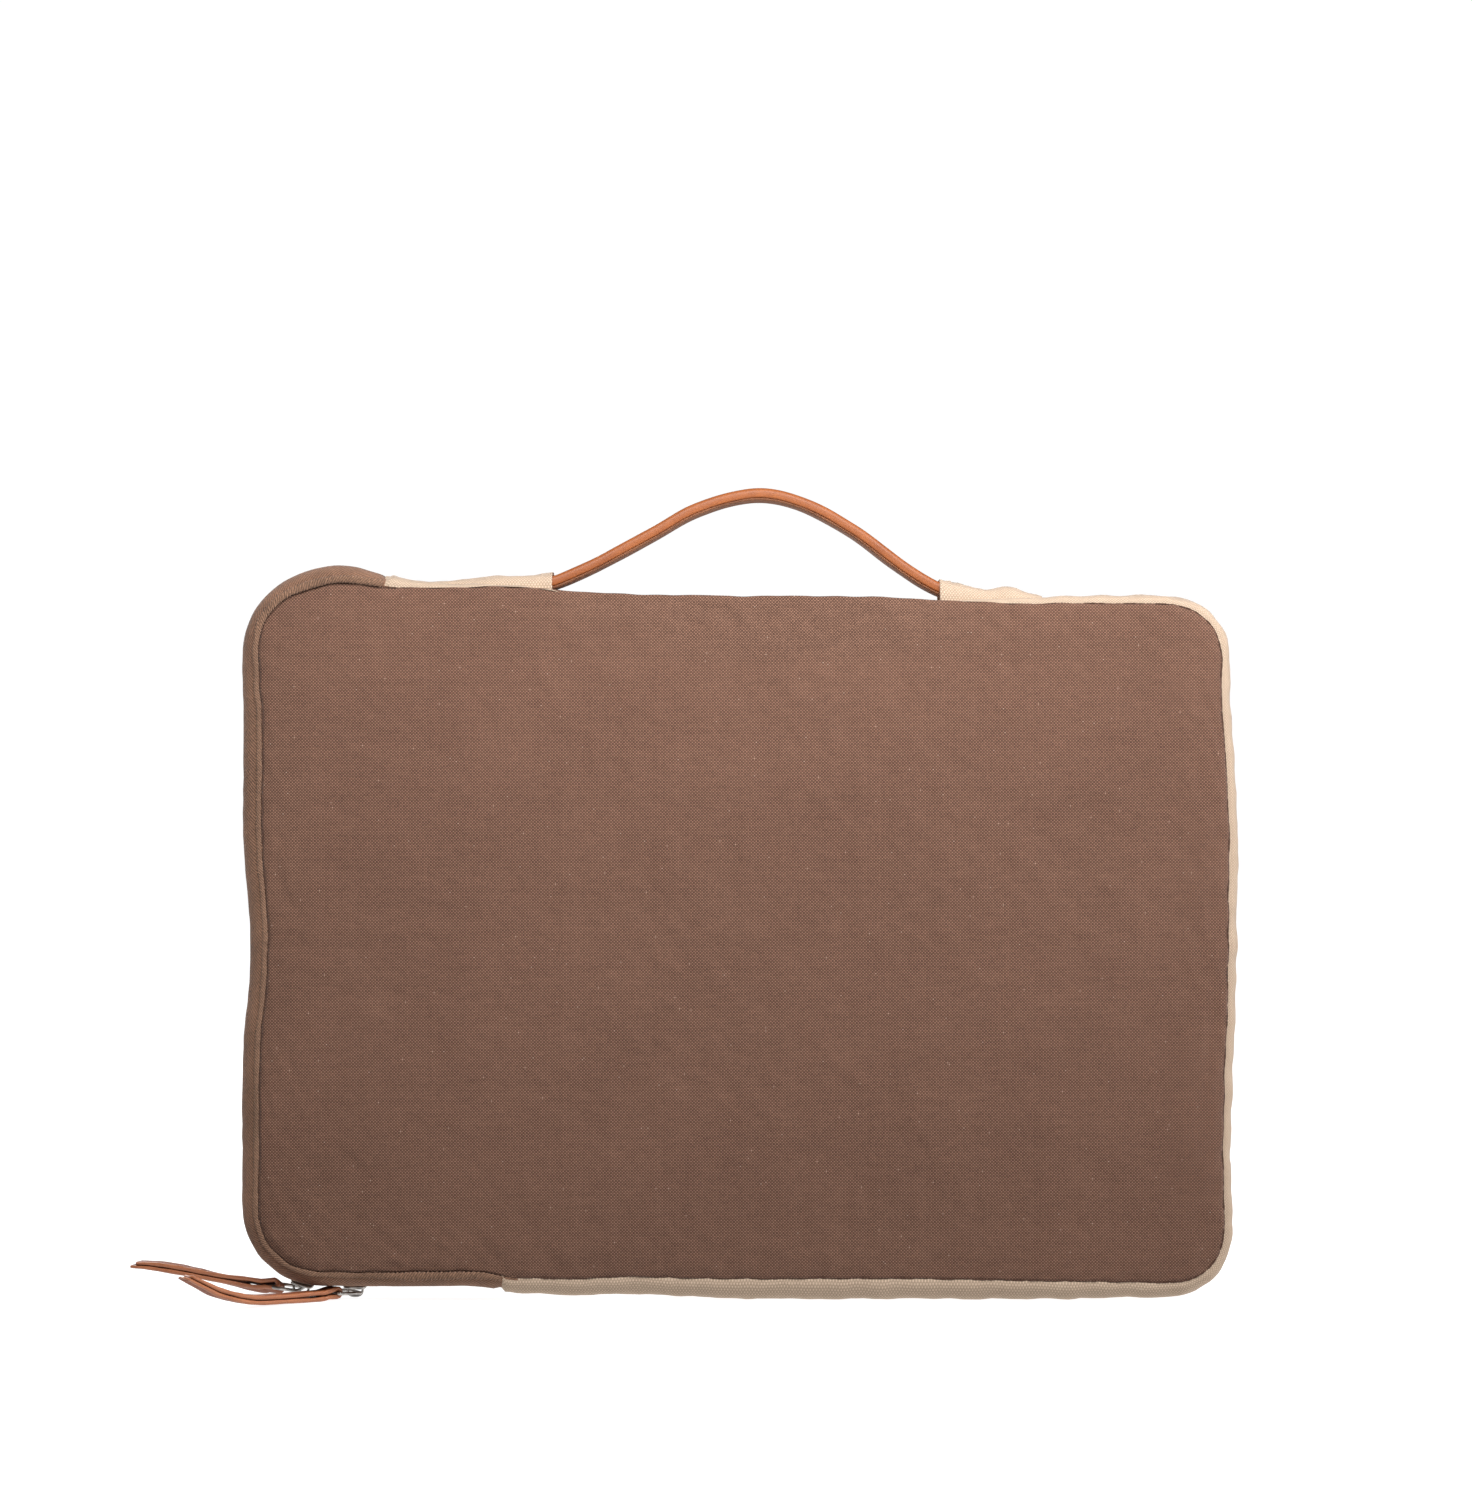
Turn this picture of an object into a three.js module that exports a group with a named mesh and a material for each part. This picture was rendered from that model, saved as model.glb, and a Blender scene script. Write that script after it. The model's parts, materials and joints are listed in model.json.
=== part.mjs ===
// Padded laptop sleeve with a round-the-corner double zip and a leather carry handle.
// Units are millimetres. The sleeve stands on its long edge: +X runs to the right along
// the long edge, +Y runs from the front panel to the back panel, +Z is up. The origin is
// the centre of the flat underside.
//
// The outline is drawn once, in the X-Z plane. Every layer is either a slab cut to an inset
// copy of it, or a band: a section in (outward offset, y) carried round the outline.
import * as THREE from 'three';

// ---- driving dimensions ----
const WIDTH = 340;                 // across the gusset, left to right
const HEIGHT = 240;                // underside to the straight part of the top edge
const DEPTH = 27;                  // front canvas to back canvas
const ZIP_RISE = 4.5;              // the zipped corner stands this far clear of the floor
const CORNER = { topLeft: 30, topRight: 24, bottomRight: 24, bottomLeft: 27 };
const CORNER_STEPS = 7;            // flats in each rounded corner
const GAP = 0.3;                   // air between layers that touch

const CANVAS = 0.8;                // outer canvas
const FOAM = 2.8;                  // padding
const LINING = 0.6;                // inner lining
const SEAM_INSET = 6;              // panel edge, in from the outer outline
const FOLD_TOP = { x: -120, z: 246 };    // the zip's two ends: the front wall folds
const FOLD_BOTTOM = { x: -82, z: 3.6 };  // open about the line that joins them
const CREST = { x: -106, rise: 3.6 };    // the top edge climbs to this point
const CREST_FOOT_X = -50;                // from here
const FLOOR_LEFT_X = -58;                // left end of the flat underside
const ZIP_FLAT_X = -88;                  // right end of the raised stretch that has the zip

const TAPE = 0.9;                  // zip tape
const COIL_HEIGHT = 1.2;
const COIL_INNER_Y = 0.7;          // half the gap between the two halves of the zip
const COIL_OUTER_Y = 2.9;

const STRAP_WIDTH = 16;
const STRAP_TOP = 3.1;             // upper leather layer
const STRAP_BACKING = 1.0;         // thin lower leather layer
const STRAP_CUT = { left: -50, right: 56 };  // the free arch of the handle lies between these

const HALF = WIDTH / 2;
const FRONT_Y = -DEPTH / 2;
const RIGHT_ANGLE = Math.PI / 2;
const rad = THREE.MathUtils.degToRad;

// ---- materials ----
function finish(hex, roughness, metalness = 0) {
  return new THREE.MeshStandardMaterial({ color: hex, roughness, metalness });
}
const LOOK = {
  canvas: finish(0x86624f, 0.9),
  natural: finish(0xd8c0a2, 0.9),
  tape: finish(0x705646, 0.85),
  coil: finish(0x3d3029, 0.5),
  foam: finish(0x8c8c88, 0.95),
  lining: finish(0x9a8f84, 0.85),
  leather: finish(0xc98150, 0.5),
  leatherDark: finish(0x7d5236, 0.6),
  metal: finish(0x8d8b88, 0.3, 1),
  thread: finish(0xe0cdb2, 0.8),
};

const sleeve = new THREE.Group();

function add(name, geometry, material, parent = sleeve) {
  const mesh = new THREE.Mesh(geometry, material);
  mesh.name = name;
  parent.add(mesh);
  return mesh;
}

// ---- outline, as [x, z] points anticlockwise seen from the front ----
function arc(cx, cz, radius, fromDeg, toDeg, steps = CORNER_STEPS) {
  return Array.from({ length: steps + 1 }, (_, i) => {
    const a = rad(fromDeg + ((toDeg - fromDeg) * i) / steps);
    return [cx + radius * Math.cos(a), cz + radius * Math.sin(a)];
  });
}

const TOP_LEFT_CENTRE = { x: -HALF + CORNER.topLeft, z: HEIGHT - 21 };
const BOTTOM_LEFT_CENTRE = { x: -HALF + CORNER.bottomLeft, z: ZIP_RISE + CORNER.bottomLeft };
const outline = [
  [FLOOR_LEFT_X, 0],
  ...arc(HALF - CORNER.bottomRight, CORNER.bottomRight, CORNER.bottomRight, -90, 0),
  ...arc(HALF - CORNER.topRight, HEIGHT - CORNER.topRight, CORNER.topRight, 0, 90),
  [CREST_FOOT_X, HEIGHT],
  [CREST.x, HEIGHT + CREST.rise],
  ...arc(TOP_LEFT_CENTRE.x, TOP_LEFT_CENTRE.z, CORNER.topLeft, 75, 180),
  ...arc(BOTTOM_LEFT_CENTRE.x, BOTTOM_LEFT_CENTRE.z, CORNER.bottomLeft, 180, 270),
  [ZIP_FLAT_X, ZIP_RISE],
];

// Moves a closed line outward by d, or inward where d is negative, with mitred corners.
function offset(points, d) {
  const count = points.length;
  const normal = (a, b) => {
    const length = Math.hypot(b[0] - a[0], b[1] - a[1]);
    return [(b[1] - a[1]) / length, -(b[0] - a[0]) / length];
  };
  return points.map((p, i) => {
    const n1 = normal(points[(i + count - 1) % count], p);
    const n2 = normal(p, points[(i + 1) % count]);
    const scale = d / (1 + n1[0] * n2[0] + n1[1] * n2[1]);
    return [p[0] + (n1[0] + n2[0]) * scale, p[1] + (n1[1] + n2[1]) * scale];
  });
}

// Distance from the fold line, positive on the right, where the sleeve stays shut.
const FOLD = new THREE.Vector2(FOLD_TOP.x - FOLD_BOTTOM.x, FOLD_TOP.z - FOLD_BOTTOM.z).normalize();
function rightOfFold(p) {
  return (p[0] - FOLD_BOTTOM.x) * FOLD.y - (p[1] - FOLD_BOTTOM.z) * FOLD.x;
}

// The part of a closed line on one side of the fold (side 1 right, -1 left), GAP clear of it,
// from the point where it crosses in to the point where it crosses out.
function sideOfFold(points, side) {
  const value = (p) => side * rightOfFold(p) - GAP;
  const cross = (a, b) => {
    const t = value(a) / (value(a) - value(b));
    return [a[0] + (b[0] - a[0]) * t, a[1] + (b[1] - a[1]) * t];
  };
  const count = points.length;
  const start = points.findIndex((p, i) => value(p) < 0 && value(points[(i + 1) % count]) >= 0);
  const kept = [cross(points[start], points[(start + 1) % count])];
  let i = (start + 1) % count;
  while (value(points[i]) >= 0) {
    kept.push(points[i]);
    i = (i + 1) % count;
  }
  kept.push(cross(points[(i + count - 1) % count], points[i]));
  return kept;
}

// ---- solids ----
function solid(vertices, faces) {
  let volume = 0;
  for (const [a, b, c] of faces) {
    const [p, q, r] = [vertices[a], vertices[b], vertices[c]];
    volume += p[0] * (q[1] * r[2] - q[2] * r[1]);
    volume += p[1] * (q[2] * r[0] - q[0] * r[2]);
    volume += p[2] * (q[0] * r[1] - q[1] * r[0]);
  }
  const order = volume > 0 ? faces : faces.map(([a, b, c]) => [a, c, b]);
  const geometry = new THREE.BufferGeometry();
  geometry.setAttribute('position', new THREE.Float32BufferAttribute(vertices.flat(), 3));
  geometry.setIndex(order.flat());
  geometry.computeVertexNormals();
  return geometry;
}

// Joins rings of equal length into a skin. An open loft is capped at both ends with the
// triangles of its section; a closed one runs back into its first ring.
function loft(rings, section, closed = false) {
  const size = section.length;
  const faces = [];
  const spans = closed ? rings.length : rings.length - 1;
  for (let i = 0; i < spans; i += 1) {
    const here = i * size;
    const next = ((i + 1) % rings.length) * size;
    for (let j = 0; j < size; j += 1) {
      const k = (j + 1) % size;
      faces.push([here + j, next + j, next + k], [here + j, next + k, here + k]);
    }
  }
  if (!closed) {
    const flat = section.map(([u, v]) => new THREE.Vector2(u, v));
    const last = (rings.length - 1) * size;
    const turned = THREE.ShapeUtils.isClockWise(flat);
    for (const [a, b, c] of THREE.ShapeUtils.triangulateShape(flat, [])) {
      const cap = turned ? [c, b, a] : [a, b, c];
      faces.push(cap, cap.toReversed().map((v) => v + last));
    }
  }
  return solid(rings.flat(), faces);
}

// A section of [outward offset, y] points carried round the outline, all the way (side 0)
// or only on one side of the fold.
function band(section, side = 0) {
  const lines = section.map(([n]) => {
    const line = offset(outline, n);
    return side ? sideOfFold(line, side) : line;
  });
  const rings = lines[0].map((_, i) => section.map(([, y], j) => [lines[j][i][0], y, lines[j][i][1]]));
  return loft(rings, section, side === 0);
}

// A slab of the outline, inset and cut to one side of the fold if asked, from y0 to y1.
function slab(inset, y0, y1, side = 0) {
  const line = offset(outline, -inset);
  const points = side ? sideOfFold(line, side) : line;
  const shape = new THREE.Shape(points.map(([x, z]) => new THREE.Vector2(x, z)));
  const geometry = new THREE.ExtrudeGeometry(shape, { depth: y1 - y0, bevelEnabled: false });
  return geometry.rotateX(RIGHT_ANGLE).translate(0, y1, 0);
}

// Gives an open line of [n, y] points a thickness towards the inside of the sleeve.
function thicken(line, thickness) {
  const inner = line.map((p, i) => {
    const a = line[Math.max(i - 1, 0)];
    const b = line[Math.min(i + 1, line.length - 1)];
    const length = Math.hypot(b[0] - a[0], b[1] - a[1]);
    return [p[0] - ((b[1] - a[1]) / length) * thickness, p[1] + ((b[0] - a[0]) / length) * thickness];
  });
  return [...line, ...inner.reverse()];
}

const mirrored = (section) => section.map(([n, y]) => [n, -y]);
const rectangle = (n0, n1, y0, y1) => [[n0, y0], [n1, y0], [n1, y1], [n0, y1]];

// ---- walls: canvas outside, foam, lining inside ----
const WALL = {
  canvas: { inset: SEAM_INSET, from: 0, depth: CANVAS, look: LOOK.canvas },
  foam: { inset: 6.5, from: CANVAS + GAP, depth: FOAM, look: LOOK.foam },
  lining: { inset: 5.2, from: CANVAS + FOAM + 2 * GAP, depth: LINING, look: LOOK.lining },
};
for (const [layer, { inset, from, depth, look }] of Object.entries(WALL)) {
  const y = FRONT_Y + from;
  add(`front_${layer}`, slab(inset, y, y + depth, 1), look);
  add(`front_${layer}_mouth`, slab(inset, y, y + depth, -1), look);
  add(`back_${layer}`, slab(inset, -y - depth, -y), look);
}

// ---- gusset: canvas, foam and lining, on the side that has no zip ----
const SEAM_OFFSET = -SEAM_INSET + 0.4;
const SHOULDER = [[SEAM_OFFSET, -13.3], [-2.6, -12], [-0.6, -10], [0, -8]];
const gussetLine = [...SHOULDER, ...mirrored(SHOULDER).reverse()];
add('gusset_canvas', band(thicken(gussetLine, CANVAS), 1), LOOK.natural);
add('gusset_foam', band(rectangle(-4, -1.5, -8.3, 8.3), 1), LOOK.foam);
add('gusset_lining', band(rectangle(-4.9, -4.3, -8.3, 8.3), 1), LOOK.lining);

// ---- zip: two tapes, each with its coil on the inside ----
const tapeSection = thicken([...SHOULDER, [0, -COIL_INNER_Y]], TAPE);
const coilSection = rectangle(-TAPE - GAP - COIL_HEIGHT, -TAPE - GAP, -COIL_OUTER_Y, -COIL_INNER_Y);
add('zip_tape_front', band(tapeSection, -1), LOOK.tape);
add('zip_tape_back', band(mirrored(tapeSection), -1), LOOK.tape);
add('zip_coil_front', band(coilSection, -1), LOOK.coil);
add('zip_coil_back', band(mirrored(coilSection), -1), LOOK.coil);

// The thread stops sewn across the zip's ends, on the canvas just past the fold line. Each
// lies on the slope the canvas has there.
const STOP = { length: 2.4, width: 7, height: 1 };
const STOP_TOP = { x: -113.2, z: 245.9, slope: Math.atan(4.4 / 26.2) };
const STOP_BOTTOM = { x: -78, z: 2, slope: Math.atan(ZIP_RISE / (FLOOR_LEFT_X - ZIP_FLAT_X)) };
function stop(name, { x, z, slope }) {
  const geometry = new THREE.BoxGeometry(STOP.length, STOP.width, STOP.height);
  const mesh = add(name, geometry, LOOK.thread);
  mesh.position.set(x, 0, z);
  mesh.rotation.y = slope;
}
stop('zip_stop_top', STOP_TOP);
stop('zip_stop_bottom', STOP_BOTTOM);

// ---- binding over the raw seams, inside the pocket ----
const bindingSection = rectangle(-9.2, -5.2, -8.3, -6.9);
add('seam_binding_front', band(bindingSection, 1), LOOK.lining);
add('seam_binding_front_mouth', band(bindingSection, -1), LOOK.lining);
add('seam_binding_back', band(mirrored(bindingSection)), LOOK.lining);

// ---- handle ----
// The strap's centre line, and the ring of a section of [n, y] points square to it.
const strapLine = new THREE.CatmullRomCurve3(
  [
    [-84, 246.2], [-74, 246], [-64, 245.2], [-50, 250.1], [-31, 260.2], [-14, 269.6], [5, 274.6],
    [21, 272.4], [38, 264.4], [56, 250.6], [66, 244.1], [76, 243],
  ].map(([x, z]) => new THREE.Vector3(x, 0, z)),
);
const STRAP_SAMPLES = 400;
const STRAP_STEPS = { arch: 16, left: 8, right: 6 };   // straight lengths in each piece
const STRAP_ENDS = { left: -82, right: 74 };           // hidden in the tunnels
const STRAP_BEVEL = 1;
const strapPoints = strapLine.getPoints(STRAP_SAMPLES);

function strapAt(x) {
  const i = strapPoints.findIndex((p) => p.x >= x);
  const [a, b] = [strapPoints[i - 1], strapPoints[i]];
  const t = (x - a.x) / (b.x - a.x);
  return { z: a.z + (b.z - a.z) * t, slope: Math.atan2(b.z - a.z, b.x - a.x) };
}

// A length of strap from x0 to x1. Both ends are cut upright, so that a piece that turns
// about the X axis stays clear of the piece beside it.
function strapPiece(x0, x1, steps, section) {
  const rings = Array.from({ length: steps + 1 }, (_, i) => {
    const x = x0 + ((x1 - x0) * i) / steps;
    const { z, slope } = strapAt(x);
    const upright = i === 0 || i === steps;
    return section.map(([n, y]) => (upright
      ? [x, y, z + n / Math.cos(slope)]
      : [x - n * Math.sin(slope), y, z + n * Math.cos(slope)]));
  });
  return loft(rings, section);
}

function strapSection(n0, n1, w, bevel) {
  return [[n0, -w], [n0, w], [n1 - bevel, w], [n1, w - bevel], [n1, -w + bevel], [n1 - bevel, -w]];
}
const STRAP_HALF = (STRAP_TOP + STRAP_BACKING + GAP) / 2;
const STRAP_EDGE = STRAP_WIDTH / 2;
const topSection = strapSection(-STRAP_HALF + STRAP_BACKING + GAP, STRAP_HALF, STRAP_EDGE, STRAP_BEVEL);
const backingSection = rectangle(-STRAP_HALF, -STRAP_HALF + STRAP_BACKING, -STRAP_EDGE, STRAP_EDGE);
const endSection = strapSection(-STRAP_HALF, STRAP_HALF, STRAP_EDGE, STRAP_BEVEL);
function archPiece(section) {
  return strapPiece(STRAP_CUT.left + GAP, STRAP_CUT.right - GAP, STRAP_STEPS.arch, section);
}
add('handle_strap', archPiece(topSection), LOOK.leather);
add('handle_backing', archPiece(backingSection), LOOK.leatherDark);
const leftEnd = strapPiece(STRAP_ENDS.left, STRAP_CUT.left - GAP, STRAP_STEPS.left, endSection);
const rightEnd = strapPiece(STRAP_CUT.right + GAP, STRAP_ENDS.right, STRAP_STEPS.right, endSection);
add('handle_end_left', leftEnd, LOOK.leather);
add('handle_end_right', rightEnd, LOOK.leather);

// A canvas tunnel over each strap end: an arch that stands on the gusset. Each station is
// [x, height of the gusset, height of the arch above it].
const TUNNEL = { width: 20, wall: 0.9, rise: 0.3, bevel: 1.2, innerBevel: 0.7 };
const onSlope = (x) => HEIGHT + ((CREST_FOOT_X - x) / (CREST_FOOT_X - CREST.x)) * CREST.rise;
function tunnel(name, stations) {
  const { wall, rise, bevel, innerBevel } = TUNNEL;
  const half = TUNNEL.width / 2;
  const inside = half - wall;
  const arch = (top) => [
    [rise, -half], [top - bevel, -half], [top, -half + bevel], [top, half - bevel], [top - bevel, half],
    [rise, half], [rise, inside], [top - wall, inside - innerBevel], [top - wall, innerBevel - inside],
    [rise, -inside],
  ];
  const rings = stations.map(([x, z, h]) => arch(h).map(([n, y]) => [x, y, z + n]));
  add(name, loft(rings, arch(stations[0][2])), LOOK.natural);
}
tunnel('handle_tunnel_left', [
  [-110, 244.4, 3], [-96, onSlope(-96), 4.6], [-84, onSlope(-84), 7.9], [-64, onSlope(-64), 7.6],
]);
tunnel('handle_tunnel_right', [
  [67, HEIGHT, 7.6], [77, HEIGHT, 7.2], [88, HEIGHT, 3.4], [97, HEIGHT, 3.6], [106, HEIGHT, 2],
]);

// ---- zip sliders ----
// Built with the zip's outer face at z = 0 and outward downwards. The plate runs over the
// outside of the zip, and one flange over the back half of the inside. The front half is
// open, so that the front coil can leave the slider when the mouth swings open.
const SLIDER = {
  length: 8, halfWidth: 4.2, web: 0.35,
  plateNear: 0.5, plateFar: 1.6,   // the outer plate, out from the zip's face
  flangeNear: 3.4, flangeFar: 4.6, // the inner flange, in from it
};
const BAIL = { length: 5.4, width: 1.6, wire: 0.6, drop: 4.4, bevel: 0.4 };
const WIRE_DROP = 2.75;            // from the zip to the ring's wire in the bail

function sliderBody() {
  const { plateNear, plateFar, flangeNear, flangeFar, halfWidth, web } = SLIDER;
  const points = [
    [-halfWidth, plateNear], [-web, plateNear], [-web, -flangeFar], [halfWidth, -flangeFar],
    [halfWidth, -flangeNear], [web, -flangeNear], [web, plateNear], [halfWidth, plateNear],
    [halfWidth, plateFar], [-halfWidth, plateFar],
  ];
  const shape = new THREE.Shape(points.map(([y, n]) => new THREE.Vector2(y, n)));
  const geometry = new THREE.ExtrudeGeometry(shape, { depth: SLIDER.length, bevelEnabled: false });
  const basis = new THREE.Matrix4().makeBasis(
    new THREE.Vector3(0, 1, 0), new THREE.Vector3(0, 0, -1), new THREE.Vector3(-1, 0, 0),
  );
  return geometry.applyMatrix4(basis).translate(SLIDER.length / 2, 0, 0);
}

function bail() {
  const half = BAIL.length / 2;
  const top = SLIDER.plateFar + GAP;
  const { wire, drop, bevel } = BAIL;
  const points = [
    [-half, top], [-half + wire, top], [-half + wire, drop - wire], [half - wire, drop - wire],
    [half - wire, top], [half, top], [half, drop - bevel], [half - bevel, drop], [-half + bevel, drop],
    [-half, drop - bevel],
  ];
  const shape = new THREE.Shape(points.map(([x, n]) => new THREE.Vector2(x, -n)));
  const geometry = new THREE.ExtrudeGeometry(shape, { depth: BAIL.width, bevelEnabled: false });
  return geometry.rotateX(RIGHT_ANGLE).translate(0, BAIL.width / 2, 0);
}

// A rounded rectangle of wire in the x-y plane: its near side lies on the y axis, its far
// side at x = length.
const RING = { length: 8.8, halfWidth: 4.6, corner: 1, wire: 0.5, sides: 6, cornerSteps: 3 };
function ring() {
  const { length, halfWidth, corner, wire, sides, cornerSteps } = RING;
  const [far, side] = [length - corner, halfWidth - corner];
  const line = [
    ...arc(corner, -side, corner, 180, 270, cornerSteps), ...arc(far, -side, corner, 270, 360, cornerSteps),
    ...arc(far, side, corner, 0, 90, cornerSteps), ...arc(corner, side, corner, 90, 180, cornerSteps),
  ];
  const section = Array.from({ length: sides }, (_, i) => {
    const a = ((i + 0.5) / sides) * 2 * Math.PI;
    return [wire * Math.cos(a), wire * Math.sin(a)];
  });
  const lines = section.map(([n]) => offset(line, n));
  const rings = line.map((_, i) => section.map(([, h], j) => [lines[j][i][0], lines[j][i][1], h]));
  return loft(rings, section, true);
}

// A strip of leather folded double round the far side of the ring, drawn in the x-z plane
// with the ring's wire at the origin. `middle` gives the height of its middle at distance x.
const PULL = { width: 7.6, loopOuter: 2, loopInner: 0.85, half: 1.5, eye: 5.5, steps: 12, loopSteps: 8 };
function pull(middle) {
  const { loopOuter, loopInner, half, eye, steps, loopSteps } = PULL;
  const curve = new THREE.CatmullRomCurve3(middle.map(([x, z]) => new THREE.Vector3(x, 0, z)));
  const stations = Array.from({ length: steps + 1 }, (_, i) => {
    const t = i / steps;
    const p = curve.getPoint(t);
    const slope = curve.getTangent(t);
    return { p, nx: -slope.z, nz: slope.x };
  });
  const edge = (d) => stations.map(({ p, nx, nz }) => new THREE.Vector2(p.x + d * nx, p.z + d * nz));
  const nose = arc(0, 0, loopOuter, 90, 270, loopSteps).map(([x, z]) => new THREE.Vector2(x, z));
  const shape = new THREE.Shape([...nose, ...edge(-half), ...edge(half).reverse()]);
  const hole = arc(0, 0, loopInner, 70, 290, loopSteps).map(([x, z]) => new THREE.Vector2(x, z));
  shape.holes.push(new THREE.Path([...hole, new THREE.Vector2(eye, middle[0][1] / 2)]));
  const geometry = new THREE.ExtrudeGeometry(shape, { depth: PULL.width, bevelEnabled: false });
  return geometry.rotateX(RIGHT_ANGLE).translate(0, PULL.width / 2, 0);
}

// Stands a group at a place with its x axis along a heading, its z axis up.
function heading(x, y, z, yawDeg) {
  const group = new THREE.Group();
  group.position.set(x, y, z);
  group.rotation.z = rad(yawDeg);
  sleeve.add(group);
  return group;
}

// Slider a sits on the corner, slider b on the straight stretch under the sleeve.
const A_ANGLE = 14;                // up the corner, from straight down
const B_X = -131.6;
const A_RADIUS = CORNER.bottomLeft;
const A_YAW = 170;                 // the pulls' headings, from +X: a runs left and back,
const B_YAW = 215;                 // b left and forward
const A_LIFT = 6;                  // degrees that each ring slopes up from its bail
const B_LIFT = 3;

const seatA = new THREE.Group();
seatA.position.set(BOTTOM_LEFT_CENTRE.x, 0, BOTTOM_LEFT_CENTRE.z);
seatA.rotation.y = rad(A_ANGLE);
sleeve.add(seatA);
const seatB = new THREE.Group();
seatB.position.set(B_X, 0, ZIP_RISE);
sleeve.add(seatB);

add('slider_a_body', sliderBody().translate(0, 0, -A_RADIUS), LOOK.metal, seatA);
add('slider_a_bail', bail().translate(0, 0, -A_RADIUS), LOOK.metal, seatA);
add('slider_b_body', sliderBody(), LOOK.metal, seatB);
add('slider_b_bail', bail(), LOOK.metal, seatB);

const wireRadius = A_RADIUS + WIRE_DROP;
const wireA = {
  x: BOTTOM_LEFT_CENTRE.x - wireRadius * Math.sin(rad(A_ANGLE)),
  z: BOTTOM_LEFT_CENTRE.z - wireRadius * Math.cos(rad(A_ANGLE)),
};
const atWireA = heading(wireA.x, 0, wireA.z, A_YAW);
const atWireB = heading(B_X, 0, ZIP_RISE - WIRE_DROP, B_YAW);
add('ring_a', ring().rotateY(-rad(A_LIFT)), LOOK.metal, atWireA);
add('ring_b', ring().rotateY(-rad(B_LIFT)), LOOK.metal, atWireB);

const farSide = (lift) => [RING.length * Math.cos(rad(lift)), 0, RING.length * Math.sin(rad(lift))];
const pullA = pull([[6, 0.4], [18, 2.2], [32, 4.4], [43, 5.8], [51, 6.2]]);
const pullB = pull([[6, -0.5], [20, -0.5], [32, 0.1], [43, 3.2], [50, 6.6], [56, 9.8]]);
add('pull_a', pullA.translate(...farSide(A_LIFT)), LOOK.leather, atWireA);
add('pull_b', pullB.translate(...farSide(B_LIFT)), LOOK.leather, atWireB);

export default sleeve;
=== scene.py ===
"""A padded laptop sleeve standing upright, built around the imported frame.

Brown canvas panels over foam, a pale canvas edge, a coil zip with two sliders round the left side,
leather pulls on wire rings, and a leather handle in two cloth tunnels. Metres, +X right, +Z up,
the front panel faces -Y. Sizes written below are in millimetres and pass through MM.
"""
import json
import math
import bpy
import numpy as np
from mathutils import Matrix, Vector


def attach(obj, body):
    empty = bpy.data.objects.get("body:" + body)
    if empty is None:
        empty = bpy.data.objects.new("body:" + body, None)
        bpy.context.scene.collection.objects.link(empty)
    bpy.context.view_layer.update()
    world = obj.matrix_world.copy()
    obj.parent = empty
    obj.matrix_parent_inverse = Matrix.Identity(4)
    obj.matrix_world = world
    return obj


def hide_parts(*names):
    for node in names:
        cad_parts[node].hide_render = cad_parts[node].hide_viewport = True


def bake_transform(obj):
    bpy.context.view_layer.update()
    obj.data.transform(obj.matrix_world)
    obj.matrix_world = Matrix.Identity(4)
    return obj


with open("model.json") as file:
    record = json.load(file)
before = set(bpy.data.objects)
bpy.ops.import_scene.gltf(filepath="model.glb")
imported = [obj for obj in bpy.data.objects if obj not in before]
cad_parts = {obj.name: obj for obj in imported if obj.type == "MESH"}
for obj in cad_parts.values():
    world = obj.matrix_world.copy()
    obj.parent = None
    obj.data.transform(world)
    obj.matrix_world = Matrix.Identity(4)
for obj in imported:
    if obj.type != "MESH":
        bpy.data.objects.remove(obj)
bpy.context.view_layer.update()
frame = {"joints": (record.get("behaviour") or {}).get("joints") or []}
JOINTS = {j["name"]: j for j in frame["joints"]}
MM = 0.001
Y_AXIS, Z_AXIS = np.array([0.0, 1.0, 0.0]), np.array([0.0, 0.0, 1.0])

# The sleeve's own edge, seen from the front: arcs (centre x, z, radius, degrees) and corner points.
HALF_WIDTH, HEIGHT, ZIP_RISE = 170, 240, 4.5
EDGE = [
    ("point", -58, 0),
    ("arc", HALF_WIDTH - 24, 24, 24, 270, 360),
    ("arc", HALF_WIDTH - 24, HEIGHT - 24, 24, 0, 90),
    ("point", -50, HEIGHT),
    ("point", -106, HEIGHT + 3.6),
    ("arc", 30 - HALF_WIDTH, 219, 30, 75, 180),
    ("arc", 27 - HALF_WIDTH, 31.5, 27, 180, 270),
    ("point", -88, ZIP_RISE),
]
FOLD_TOP, FOLD_BOTTOM = (-120, 246), (-82, 3.6)
STEP = 2.0
# Places where the edge is drawn in (mm): x, z, depth, reach.
DENTS = [
    (-170, 120, 3.4, 19), (-170, 190, 1.0, 24), (-170, 45, 0.6, 30), (-132, 249, -1.7, 8),
    (171, 210, 2.9, 20), (170, 130, 0.5, 60), (170, 48, 2.6, 34), (-40, 0, 1.9, 20), (-75, 1, -0.8, 6),
    (-78, 242, -1.4, 20), (5, 240, 0.9, 34), (70, 240, 1.5, 20), (158, 237, -0.4, 11),
    (100, 240, 0.4, 14),
]
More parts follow.
